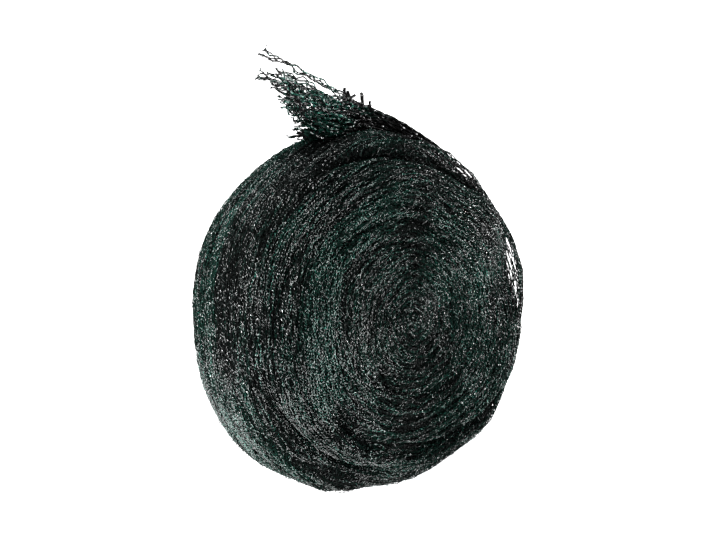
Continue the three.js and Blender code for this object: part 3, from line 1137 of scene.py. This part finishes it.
        # On the flat spot that stands on the floor, the directions away from the solid come out as nothing.
        up[np.linalg.norm(up, axis=-1) < 0.5] = (0.0, 0.0, -1.0)
        roll = twist(draw, shape)
        half = bead_sizes(draw, shape, plan.half_mm)
        cloud = self.colours.cloudiness * self.colours.clouds(points)
        # Painted shade: the tone and the share of glossy stitches fall in creases, furrows and slots, and in
        # the deeper layers.
        lit = self.colours.open_share(self.form, angle, distance)
        tone = plan.light * lit * np.exp(0.5 * cloud) * stitch_tones(draw, shape)
        # The gloss bands add painted light and shade through where the stitches glint.
        gloss_and_painted_light = 1.0 + self.colours.banded(self.colours.gloss_and_painted_light_bands, angle, distance)
        gloss = stitch_gloss(draw, shape, plan.glossy * lit * gloss_and_painted_light * np.exp(cloud), self.joined_necks)
        tint = self.colours.tint(draw, angle, distance, along)
        return Strands(points, up, half, roll, tint, tone, gloss)

    def layer(self, depth: Depth, yarns: Yarns) -> list[bpy.types.Object]:
        """Wind one layer of strands, cut into pieces by the side of the roll that they lie on.

        Args:
            depth: which layer.
            yarns: the yarn's finishes.

        Returns:
            The pieces.
        """
        plan = self.layers[depth]
        turns, stitches = self.walk(plan)
        strands = self.strands(plan, turns, stitches)
        ends = (self.front_ends_mm, self.rim_ends_mm, self.wall_ends_mm)
        cuts = [0, *np.searchsorted(self.form.turn_distance(turns[0]), ends), turns.shape[1] - 1]
        pieces = []
        for side, begin, end in zip(("front", "rim", "wall", "back"), cuts, cuts[1:]):
            pieces.append(strands.cut(begin, end).build(f"net_turns_{depth.value}_{side}", yarns))
        return pieces

    def build(self, yarns: Yarns) -> list[bpy.types.Object]:
        """Make the core, which stands for the roll's solid, and every layer.

        Args:
            yarns: the yarn's finishes.

        Returns:
            The pieces.
        """
        core = self.core(ShadedTurns().material())
        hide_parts("roll")
        layers = [self.layer(depth, yarns) for depth in Depth]
        return [core, *(piece for layer in layers for piece in layer)]


@dataclass
class StrayLoops:
    """Short loops of yarn that have slipped out of the winding and lie curled on it."""

    form: RollForm
    seed: int = 41
    count: int = 170
    stitches: int = 16
    nearest_mm: float = 6.0
    bend_mm: tuple[float, float] = (1.2, 3.2)
    curl: tuple[float, float] = (2.5, 5.0)
    stretched: float = 1.6
    lift_mm: float = 0.45
    arched: float = 1.6
    jitter_mm: float = 0.1
    half_mm: float = 0.22
    ridged: float = 0.3
    most_tint: float = 0.8
    glossy: float = 0.8

    def build(self, yarns: Yarns) -> bpy.types.Object:
        """Curl the loops on both faces and on the wall.

        Args:
            yarns: the yarn's finishes.

        Returns:
            The piece.
        """
        draw = np.random.default_rng(self.seed)
        shape = (self.count, self.stitches)
        column = (self.count, 1)
        share = np.linspace(0.0, 1.0, self.stitches)
        middle = draw.uniform(self.nearest_mm, self.form.length - self.nearest_mm, column)
        around = draw.uniform(0.0, FULL_TURN, column)
        bend = draw.uniform(*self.bend_mm, column)
        turn = draw.uniform(0.0, FULL_TURN, column) + draw.uniform(*self.curl, column) * share
        radius, _ = self.form.profile(middle)
        distance = middle + bend * np.sin(turn) + self.jitter_mm * draw.normal(0.0, 1.0, shape)
        angle = around + self.stretched * bend * np.cos(turn) / np.maximum(radius, 4.0)
        arch = self.arched * np.sin(math.pi * share)[None, :] + (1.0 - self.arched)
        lift = self.lift_mm * arch + self.jitter_mm * draw.normal(0.0, 1.0, shape)
        points = self.form.skin(angle, distance, lift, self.ridged)
        points[..., 2] = np.maximum(points[..., 2], 2.0 * self.half_mm)
        up = self.form.outward(angle, distance, lift)
        roll = twist(draw, shape)
        tint = np.repeat(draw.uniform(0.0, self.most_tint, column), self.stitches, axis=1)
        half = bead_sizes(draw, shape, self.half_mm)
        gloss = stitch_gloss(draw, shape, self.glossy)
        tone = stitch_tones(draw, shape)
        return Strands(points, up, half, roll, tint, tone, gloss).build("stray_loops", yarns)


@dataclass(frozen=True)
class SlackBand:
    """Strands of the outermost turn that stand off the roll in an arch. Lifts are at the top of the arch."""

    strands: int
    from_deg: float
    to_deg: float
    inner_mm: float
    outer_mm: float
    least_lift: float
    most_lift: float
    open_mm: float


@dataclass
class SlackTurn:
    """The last stretch of the outermost turn, so slack at the right that light shows between its strands."""

    form: RollForm
    seed: int = 21
    stitches: int = 120
    half_mm: float = 0.34
    half_spread: tuple[float, float] = (0.85, 1.15)
    sunk_mm: float = 4.2
    mesh_leg_mm: float = 8.0
    end_spread_deg: float = 5.0
    arch_power: float = 0.7
    aside: Wander = Wander((35.0, 80.0), (0.3, 0.6))
    rise: Wander = Wander((30.0, 70.0), (0.12, 0.3))
    cells: Wander = Wander((70.0, 150.0), (0.6, 0.6))
    aside_jitter_mm: float = 0.08
    rise_jitter_mm: float = 0.06
    ridged: float = 0.2
    most_tint: float = 0.6
    glossy: float = 0.5
    bands: tuple[SlackBand, ...] = (
        SlackBand(
            strands=19, from_deg=-22, to_deg=48, inner_mm=67, outer_mm=77,
            least_lift=-0.5, most_lift=1.6, open_mm=0.2),
        SlackBand(
            strands=5, from_deg=-32, to_deg=44, inner_mm=62, outer_mm=76,
            least_lift=-3.6, most_lift=-1.6, open_mm=0.2),
        SlackBand(
            strands=14, from_deg=38, to_deg=94, inner_mm=74, outer_mm=84,
            least_lift=-0.6, most_lift=2.8, open_mm=0.5),
    )

    def band(self, plan: SlackBand, draw: np.random.Generator) -> Strands:
        """Lay one band of slack strands over the dip in the roll.

        Args:
            plan: how many strands there are, and where they lie.
            draw: the source of random numbers.

        Returns:
            The strands.
        """
        shape = (plan.strands, self.stitches)
        share = np.linspace(0.0, 1.0, self.stitches)[None, :]
        index = np.arange(plan.strands)[:, None]
        begins = plan.from_deg + draw.uniform(-self.end_spread_deg, self.end_spread_deg, index.shape)
        angle = np.radians(begins + share * (plan.to_deg - plan.from_deg))
        along = self.form.radius * angle
        place = (index + 0.5) / plan.strands
        pairs = plan.open_mm * zigzag(along / (2.0 * self.mesh_leg_mm) + 0.5 * index)
        distance = plan.inner_mm + (plan.outer_mm - plan.inner_mm) * place + pairs
        distance = distance + self.aside.sway(draw, along)
        distance = distance + self.aside_jitter_mm * draw.normal(0.0, 1.0, shape)
        arch = np.sin(math.pi * share) ** self.arch_power
        top = plan.least_lift + (plan.most_lift - plan.least_lift) * draw.permutation(place)
        lift = arch * (top + self.sunk_mm + pairs) - self.sunk_mm
        lift = lift + arch * self.rise.sway(draw, along)
        lift = lift + self.rise_jitter_mm * draw.normal(0.0, 1.0, shape)
        points = self.form.skin(angle, distance, lift, self.ridged)
        up = self.form.outward(angle, distance, lift)
        roll = twist(draw, shape)
        tint = self.most_tint * smooth(self.cells.sway(draw, along), -0.4, 0.5)
        half = self.half_mm * draw.uniform(*self.half_spread, shape)
        tone = stitch_tones(draw, shape)
        gloss = stitch_gloss(draw, shape, self.glossy)
        return Strands(points, up, half, roll, tint, tone, gloss)

    def build(self, yarns: Yarns) -> list[bpy.types.Object]:
        """Make every band."""
        draw = np.random.default_rng(self.seed)
        return [self.band(plan, draw).build(f"slack_turn_{k}", yarns) for k, plan in enumerate(self.bands, 1)]


@dataclass(frozen=True)
class Bunch:
    """A section of the loose end: how wide and thick the gathered strands are, and how high they lie."""

    along: float
    width: float
    thick: float
    lift: float


@dataclass(frozen=True)
class StrandGroup:
    """Strands of the loose end that lie together. Levels and places across run from -1 to 1."""

    name: str
    rows: int
    columns: int
    lowest: float
    highest: float
    spread: float
    begins: float
    long_share: float
    levels: tuple[float, ...]
    ends: tuple[float, ...]
    uneven: float
    leg_mm: float
    open_across: float
    open_level: float
    wander: float
    half_mm: float
    stitches: int


@dataclass(frozen=True)
class Tuft:
    """A tuft of short cut strands."""

    along: float
    spread: float
    count: int
    height: float


@dataclass
class LooseEnd:
    """The loose end of the net: it leaves the roll along its tangent, bunched, and opens into a fan."""

    form: RollForm
    seed: int = 31
    leaves_deg: float = 63.0
    middle_mm: float = 4.0
    bend_deg: float = 11.0
    fan_mm: float = 40.0
    slant_mm: float = 8.0
    flap_gap: float = 0.34
    flap_parts_mm: tuple[float, float] = (38.0, 66.0)
    tucked_mm: float = -6.0
    begin_spread_mm: float = 6.0
    crowded_low: float = 1.25
    rounding: float = 0.45
    slip: float = 0.14
    opens_mm: tuple[float, float] = (20.0, 55.0)
    loosens_mm: tuple[float, float] = (10.0, 80.0)
    aside: Wander = Wander((9.0, 23.0, 70.0), (0.05, 0.08, 0.1))
    rise: Wander = Wander((8.0, 25.0, 80.0), (0.045, 0.07, 0.1))
    cells: Wander = Wander((40.0, 90.0), (0.3, 0.3))
    jitter_mm: float = 0.06
    half_spread: tuple[float, float] = (0.75, 1.2)
    brightens_mm: tuple[float, float] = (30.0, 56.0)
    lit_levels: tuple[float, float] = (-0.7, 0.3)
    root_dims_mm: tuple[float, float] = (6.0, 22.0)
    wall_dims_mm: tuple[float, float] = (-30.0, 0.0)
    greens_mm: tuple[float, float] = (34.0, 60.0)
    blackens_mm: tuple[float, float] = (70.0, 84.0)
    most_gloss: float = 1.15
    end_stitches: int = 5
    threads_each: int = 2
    thread_stitches: int = 5
    thread_mm: tuple[float, float] = (0.4, 1.6)
    thread_half_mm: float = 0.34
    tuft_stitches: int = 7
    tuft_half_mm: float = 0.8
    tuft_level: float = 0.8
    cut_gloss: float = 0.4
    tuft_places: tuple[Tuft, ...] = (
        Tuft(along=45.0, spread=1.6, count=4, height=8.5),
        Tuft(along=34.0, spread=0.9, count=4, height=8.5),
    )
    groups: tuple[StrandGroup, ...] = (
        StrandGroup(
            name="loose_net", rows=8, columns=16, lowest=-1.0, highest=0.99, spread=1.0, begins=-70.0,
            long_share=0.1, levels=(-1.0, -0.6, 0.0, 0.7, 1.0), ends=(54.0, 66.0, 76.0, 82.0, 90.0),
            uneven=6.0, leg_mm=4.2, open_across=0.06, open_level=0.05, wander=1.0, half_mm=0.42, stitches=70),
        StrandGroup(
            name="loose_net_root", rows=10, columns=14, lowest=-1.0, highest=0.98, spread=0.9, begins=-66.0,
            long_share=0.1, levels=(-1.0, 0.0, 1.0), ends=(60.0, 50.0, 38.0), uneven=14.0, leg_mm=4.0,
            open_across=0.06, open_level=0.05, wander=1.0, half_mm=0.4, stitches=44),
        StrandGroup(
            name="loose_net_flap", rows=2, columns=2, lowest=0.86, highest=1.06, spread=0.2, begins=-8.0,
            long_share=1.0, levels=(0.4, 1.0), ends=(94.0, 95.0), uneven=2.0, leg_mm=7.0,
            open_across=0.03, open_level=0.035, wander=0.45, half_mm=0.46, stitches=125),
        StrandGroup(
            name="loose_net_tip", rows=2, columns=3, lowest=0.5, highest=0.76, spread=0.3, begins=-8.0,
            long_share=1.0, levels=(0.4, 1.0), ends=(93.0, 93.0), uneven=4.0, leg_mm=5.0,
            open_across=0.05, open_level=0.04, wander=0.6, half_mm=0.42, stitches=125),
        StrandGroup(
            name="loose_net_stubs", rows=2, columns=7, lowest=-1.15, highest=-0.7, spread=0.9, begins=0.0,
            long_share=1.0, levels=(-1.0, 1.0), ends=(67.0, 70.0), uneven=9.0, leg_mm=5.0,
            open_across=0.05, open_level=0.03, wander=0.8, half_mm=0.7, stitches=60),
    )
    sections: tuple[Bunch, ...] = (
        Bunch(along=-76, width=48, thick=1.2, lift=0.9),
        Bunch(along=-60, width=42, thick=1.8, lift=1.0),
        Bunch(along=-38, width=38, thick=3.2, lift=1.4),
        Bunch(along=-16, width=28, thick=6.0, lift=2.4),
        Bunch(along=0, width=22, thick=8.3, lift=4.0),
        Bunch(along=12, width=19, thick=10.6, lift=4.4),
        Bunch(along=24, width=18, thick=12.6, lift=4.2),
        Bunch(along=40, width=21, thick=16.0, lift=3.0),
        Bunch(along=60, width=24, thick=24.0, lift=2.6),
        Bunch(along=80, width=26, thick=28.0, lift=4.0),
        Bunch(along=105, width=28, thick=30.0, lift=5.5),
    )

    def wall_radius(self, angle: Array) -> Array:
        """Measure the roll's wall under the loose end.

        Args:
            angle: angle round the roll's axis.

        Returns:
            The wall's radius at each angle.
        """
        distance = np.full(np.shape(angle), 0.5 * self.form.length + self.middle_mm)
        point = self.form.skin(angle, distance, 0.0, ridged=0.0) - self.form.shift
        return np.hypot(point[..., 0], point[..., 2] - self.form.axis_height)

    def line(self, along: Array) -> tuple[Array, Array, Array]:
        """Where the loose end runs: along the wall, then off it, with a slight bend.

        Args:
            along: distance from where it leaves the roll.

        Returns:
            Points on its line, the directions away from the roll, and the directions ahead.
        """
        leaves = math.radians(self.leaves_deg)
        wall = float(self.wall_radius(np.array(leaves)))
        begun = leaves + math.pi / 2
        rate = math.radians(self.bend_deg) / self.fan_mm
        on_wall = begun + np.minimum(along, 0.0) / wall
        bent = begun + rate * np.clip(along, 0.0, self.fan_mm)
        heading = np.where(along < 0.0, on_wall, bent)
        beyond = np.maximum(along - self.fan_mm, 0.0)
        radius = self.wall_radius(on_wall - math.pi / 2)
        x = radius * np.sin(on_wall) + (np.sin(bent) - math.sin(begun)) / rate + beyond * np.cos(heading)
        z = -radius * np.cos(on_wall) - (np.cos(bent) - math.cos(begun)) / rate + beyond * np.sin(heading)
        y = np.full(np.shape(along), self.middle_mm)
        place = np.stack([x, y, z + self.form.axis_height], axis=-1) + self.form.shift
        away = np.stack([np.sin(heading), 0.0 * heading, -np.cos(heading)], axis=-1)
        ahead = np.stack([np.cos(heading), 0.0 * heading, np.sin(heading)], axis=-1)
        return place, away, ahead

    def place(self, along: Array, across: Array, level: Array) -> tuple[Array, Array]:
        """Points of the bunch.

        Args:
            along: distance along the loose end.
            across: place across the bunch, from -1 to 1.
            level: place through its thickness, from -1 to 1.

        Returns:
            The points, and the directions away from the roll there.
        """
        stations = [section.along for section in self.sections]
        width = np.interp(along, stations, [section.width for section in self.sections])
        thick = np.interp(along, stations, [section.thick for section in self.sections])
        lift = np.interp(along, stations, [section.lift for section in self.sections])
        point, away, _ = self.line(along)
        point = point + away * (lift + 0.5 * thick * level)[..., None]
        point[..., 1] -= 0.5 * width * across
        return point, away

    def light(self, along: Array, level: Array) -> Array:
        """Paint light and shade on the bunch: bright where it opens, darkest just before that, and between
        the two on the roll.

        Args:
            along: distance along the loose end.
            level: place through its thickness, from -1 to 1.

        Returns:
            How light the yarn is at each point, about 1 where it lies open.
        """
        above = 0.3 + 0.7 * smooth(level, *self.lit_levels)
        light = 0.2 + 1.3 * smooth(along, *self.brightens_mm) * above
        light = light + 0.3 * (1.0 - smooth(along, *self.root_dims_mm))
        return light + 0.4 * (1.0 - smooth(along, *self.wall_dims_mm))

    def strands(self, group: StrandGroup, draw: np.random.Generator) -> Strands:
        """Lay one group of gathered strands, from the wall of the roll to their cut ends.

        Args:
            group: how many strands there are, and where they lie and end.
            draw: the source of random numbers.

        Returns:
            The strands.
        """
        count = group.rows * group.columns
        shape = (count, group.stitches)
        each = (count, 1)
        row = np.repeat(np.arange(group.rows), group.columns)[:, None]
        column = np.tile(np.arange(group.columns), group.rows)[:, None]
        level = group.lowest + (group.highest - group.lowest) * ((row + 0.5) / group.rows) ** self.crowded_low
        across = group.spread * (2.0 * (column + 0.5) / group.columns - 1.0)
        lengths = np.interp(level, group.levels, group.ends)
        ends = lengths + self.slant_mm * across + draw.uniform(-group.uneven, 0.5 * group.uneven, each)
        runs_on = draw.random(each) < group.long_share
        begins = np.where(runs_on, group.begins, self.tucked_mm)
        begins = begins + draw.uniform(-self.begin_spread_mm, self.begin_spread_mm, each)
        along = begins + np.linspace(0.0, 1.0, group.stitches)[None, :] * (ends - begins)
        opened = 0.3 + 0.7 * smooth(along, *self.opens_mm)
        slips = draw.uniform(-self.slip, self.slip, each)
        legs = 2.0 * group.leg_mm * (1.0 + slips)
        pairs = np.sin(FULL_TURN * (along / legs + 0.5 * (column + row) + 2.0 * slips))
        loose = group.wander * (0.4 + 0.6 * smooth(along, *self.loosens_mm))
        side = across + group.open_across * opened * pairs + loose * self.aside.sway(draw, along)
        high = level + group.open_level * opened * pairs + loose * self.rise.sway(draw, along)
        top = 1.0 - self.flap_gap * smooth(along, *self.flap_parts_mm) * (group.highest < 1.0)
        high = -1.0 + 0.5 * (high + 1.0) * (1.0 + top)
        rounded = np.sqrt(np.clip(1.0 - self.rounding * across * across, 0.2, 1.0))
        points, up = self.place(along, side, high * rounded)
        points += draw.normal(0.0, self.jitter_mm, points.shape) * loose[..., None]
        half = group.half_mm * draw.uniform(*self.half_spread, shape)
        roll = twist(draw, shape)
        # Painted light and shade set both the tone and the share of glossy stitches.
        light = self.light(along, level)
        tone = light * stitch_tones(draw, shape)
        green = 0.1 + 0.47 * smooth(along, *self.greens_mm) - 0.33 * smooth(along, *self.blackens_mm)
        tint = smooth(green + self.cells.sway(draw, along) - 0.5, -0.25, 0.25)
        gloss = stitch_gloss(draw, shape, np.clip(0.8 * light, 0.0, self.most_gloss))
        return Strands(points, up, half, roll, tint, tone, gloss)

    def threads(self, roots: Array, ahead: Array, yarns: Yarns) -> bpy.types.Object:
        """Fray each cut end into a few short threads.

        Args:
            roots: where the strands end.
            ahead: the directions in which they end.
            yarns: the yarn's finishes.

        Returns:
            The piece.
        """
        draw = np.random.default_rng(self.seed + 1)
        stitches = self.thread_stitches
        start = np.repeat(roots, self.threads_each, axis=0)[:, None, :]
        way = np.repeat(ahead, self.threads_each, axis=0)
        way = unit(way + draw.normal(0.0, 0.4, way.shape))
        reach = draw.uniform(*self.thread_mm, (len(way), 1, 1))
        share = np.linspace(-0.1, 1.0, stitches)[None, :, None]
        curl = draw.normal(0.0, 0.3, (len(way), 1, 3)) * share * share
        points = start + way[:, None, :] * reach * share + curl
        shape = points.shape[:2]
        up = np.broadcast_to(np.array([0.0, 0.0, 1.0]), points.shape)
        half = np.full(shape, self.thread_half_mm) * np.linspace(1.0, 0.8, stitches)[None, :]
        roll = draw.uniform(0.0, FULL_TURN, shape)
        tone = draw.uniform(0.4, 1.2, shape)
        tint = np.repeat(draw.random((len(way), 1)) > 0.6, stitches, axis=1).astype(float)
        gloss = stitch_gloss(draw, shape, self.cut_gloss)
        return Strands(points, up, half, roll, tint, tone, gloss).build("cut_threads", yarns)

    def tufts(self, yarns: Yarns) -> bpy.types.Object:
        """Stand the short cut strands up in two tufts on the upper edge.

        Args:
            yarns: the yarn's finishes.

        Returns:
            The piece.
        """
        draw = np.random.default_rng(self.seed + 2)
        stitches = self.tuft_stitches
        places = [draw.normal(tuft.along, tuft.spread, tuft.count) for tuft in self.tuft_places]
        heights = [draw.uniform(0.5, 1.0, tuft.count) * tuft.height for tuft in self.tuft_places]
        along, reach = np.concatenate(places), np.concatenate(heights)
        across = draw.uniform(-0.35, 0.35, along.shape)
        roots, away = self.place(along, across, np.full(along.shape, self.tuft_level))
        _, _, ahead = self.line(along)
        lean = draw.normal(0.0, 0.7, along.shape)[:, None]
        aside = np.array([0.0, 1.0, 0.0]) * draw.normal(0.0, 0.3, along.shape)[:, None]
        way = unit(away + lean * ahead + aside)
        share = np.linspace(-0.25, 1.0, stitches)[None, :, None]
        points = roots[:, None, :] + way[:, None, :] * reach[:, None, None] * share
        points = points + draw.normal(0.0, 0.12, points.shape)
        shape = points.shape[:2]
        up = np.broadcast_to(ahead[:, None, :], points.shape)
        half = self.tuft_half_mm * draw.uniform(0.85, 1.15, shape)
        roll = np.repeat(draw.uniform(0.0, FULL_TURN, (shape[0], 1)), stitches, axis=1)
        tone = draw.uniform(0.3, 0.8, shape)
        gloss = stitch_gloss(draw, shape, self.cut_gloss)
        return Strands(points, up, half, roll, np.zeros(shape), tone, gloss).build("cut_tufts", yarns)

    def build(self, yarns: Yarns) -> list[bpy.types.Object]:
        """Args:
            yarns: the yarn's finishes.

        Returns:
            The strands, the first of which stand for the loose end's solid, and their cut threads and tufts.
        """
        draw = np.random.default_rng(self.seed)
        pieces = []
        roots, ahead = [], []
        for group in self.groups:
            strands = self.strands(group, draw)
            pieces.append(strands.build(group.name, yarns))
            roots.append(strands.points[:, -1])
            ahead.append(unit(strands.points[:, -1] - strands.points[:, -self.end_stitches]))
        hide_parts("loose_end")
        pieces.append(self.threads(np.concatenate(roots), np.concatenate(ahead), yarns))
        pieces.append(self.tufts(yarns))
        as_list(pieces[1:])
        return pieces


@dataclass(frozen=True)
class SoftLight:
    """A wide, distant studio light that lights floor and object evenly."""

    name: str
    azimuth: float
    elevation: float
    width_deg: float
    power: float


@dataclass
class Studio:
    """A lit white floor, soft lights and the camera at the photograph's angle."""

    azimuth: float = -40.0
    elevation: float = 8.0
    distance: float = 0.84
    lens: float = 98.0
    pivot: tuple[float, float, float] = (0.0, 0.0, 0.073)
    aside: float = -0.0017
    above: float = 0.0177
    floor_side: float = 240.0
    floor_cells: int = 4
    daylight: float = 0.28
    backdrop: float = 1.0
    lights: tuple[SoftLight, ...] = (
        SoftLight("left", azimuth=-110.0, elevation=6.0, width_deg=16.0, power=3.8),
        SoftLight("right", azimuth=74.0, elevation=4.0, width_deg=26.0, power=5.0),
        SoftLight("overhead", azimuth=-95.0, elevation=60.0, width_deg=30.0, power=3.6),
    )

    @staticmethod
    def toward(azimuth: float, elevation: float) -> Vector:
        """Direction from the object to a viewer or a light."""
        a, e = math.radians(azimuth), math.radians(elevation)
        return Vector((math.sin(a) * math.cos(e), -math.cos(a) * math.cos(e), math.sin(e)))

    @staticmethod
    def aim(thing: bpy.types.Object, target: Vector) -> None:
        """Turn a camera or a light to look at a point."""
        thing.rotation_euler = (target - thing.location).to_track_quat("-Z", "Y").to_euler()

    def camera(self) -> bpy.types.Object:
        """Place the camera where the photograph was taken from.

        Returns:
            The camera.
        """
        back = self.toward(self.azimuth, self.elevation)
        right = Vector((math.cos(math.radians(self.azimuth)), math.sin(math.radians(self.azimuth)), 0.0))
        target = Vector(self.pivot) + right * self.aside + back.cross(right) * self.above
        data = bpy.data.cameras.new("camera")
        data.lens = self.lens
        camera = bpy.data.objects.new("camera", data)
        camera.location = target + back * self.distance
        self.aim(camera, target)
        bpy.context.scene.collection.objects.link(camera)
        bpy.context.scene.camera = camera
        return camera

    def floor(self, white: bpy.types.Material) -> bpy.types.Object:
        """Lay the floor.

        Args:
            white: its finish.

        Returns:
            The floor.
        """
        shape = bmesh.new()
        bmesh.ops.create_grid(
            shape, x_segments=self.floor_cells, y_segments=self.floor_cells, size=0.5 * self.floor_side)
        mesh = bpy.data.meshes.new("light_table")
        shape.to_mesh(mesh)
        shape.free()
        floor = bpy.data.objects.new("light_table", mesh)
        floor.data.materials.append(white)
        bpy.context.scene.collection.objects.link(floor)
        floor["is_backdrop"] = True
        return floor

    def light(self) -> None:
        """Set up the even daylight, before a backdrop as white as the floor, and the soft lights."""
        world = bpy.data.worlds.new("studio")
        world.use_nodes = True
        world.node_tree.nodes.clear()
        rays = add_node(world.node_tree, "ShaderNodeLightPath")
        strength = add_node(world.node_tree, "ShaderNodeMapRange", {
            "Value": rays.outputs["Is Camera Ray"], "To Min": self.daylight, "To Max": self.backdrop})
        sky = add_node(world.node_tree, "ShaderNodeBackground", {
            "Color": (1.0, 1.0, 1.0, 1.0), "Strength": strength.outputs["Result"]})
        add_node(world.node_tree, "ShaderNodeOutputWorld", {"Surface": sky.outputs["Background"]})
        bpy.context.scene.world = world
        for light in self.lights:
            data = bpy.data.lights.new(light.name, "SUN")
            data.energy = light.power
            data.angle = math.radians(light.width_deg)
            lamp = bpy.data.objects.new(light.name, data)
            lamp.location = Vector(self.pivot) + self.toward(light.azimuth, light.elevation)
            self.aim(lamp, Vector(self.pivot))
            bpy.context.scene.collection.objects.link(lamp)

    def build(self) -> None:
        """Make the floor, the lights and the camera."""
        bpy.context.scene.view_settings.view_transform = "Standard"
        self.floor(LightTable().material())
        self.light()
        self.camera()


def write_sizes() -> None:
    """Gather the solids' box and the dressed part's box."""
    boxes = {"cad": CAD_BOX, "visual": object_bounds()}
    lists = {name: [list(corner) for corner in box] for name, box in boxes.items()}


def main() -> None:
    """Build the pond net and its studio, and report each piece."""
    logging.basicConfig(level=logging.INFO, format="%(message)s")
    yarns = Yarns.make()
    form = RollForm()
    Studio().build()
    pieces = [*WoundRoll(form).build(yarns), StrayLoops(form).build(yarns)]
    pieces += [*SlackTurn(form).build(yarns), *LooseEnd(form).build(yarns)]
    for piece in pieces:
        LOG.info("%s: %d faces", piece.name, len(piece.data.polygons))
    write_sizes()


if __name__ == "__main__":
    main()
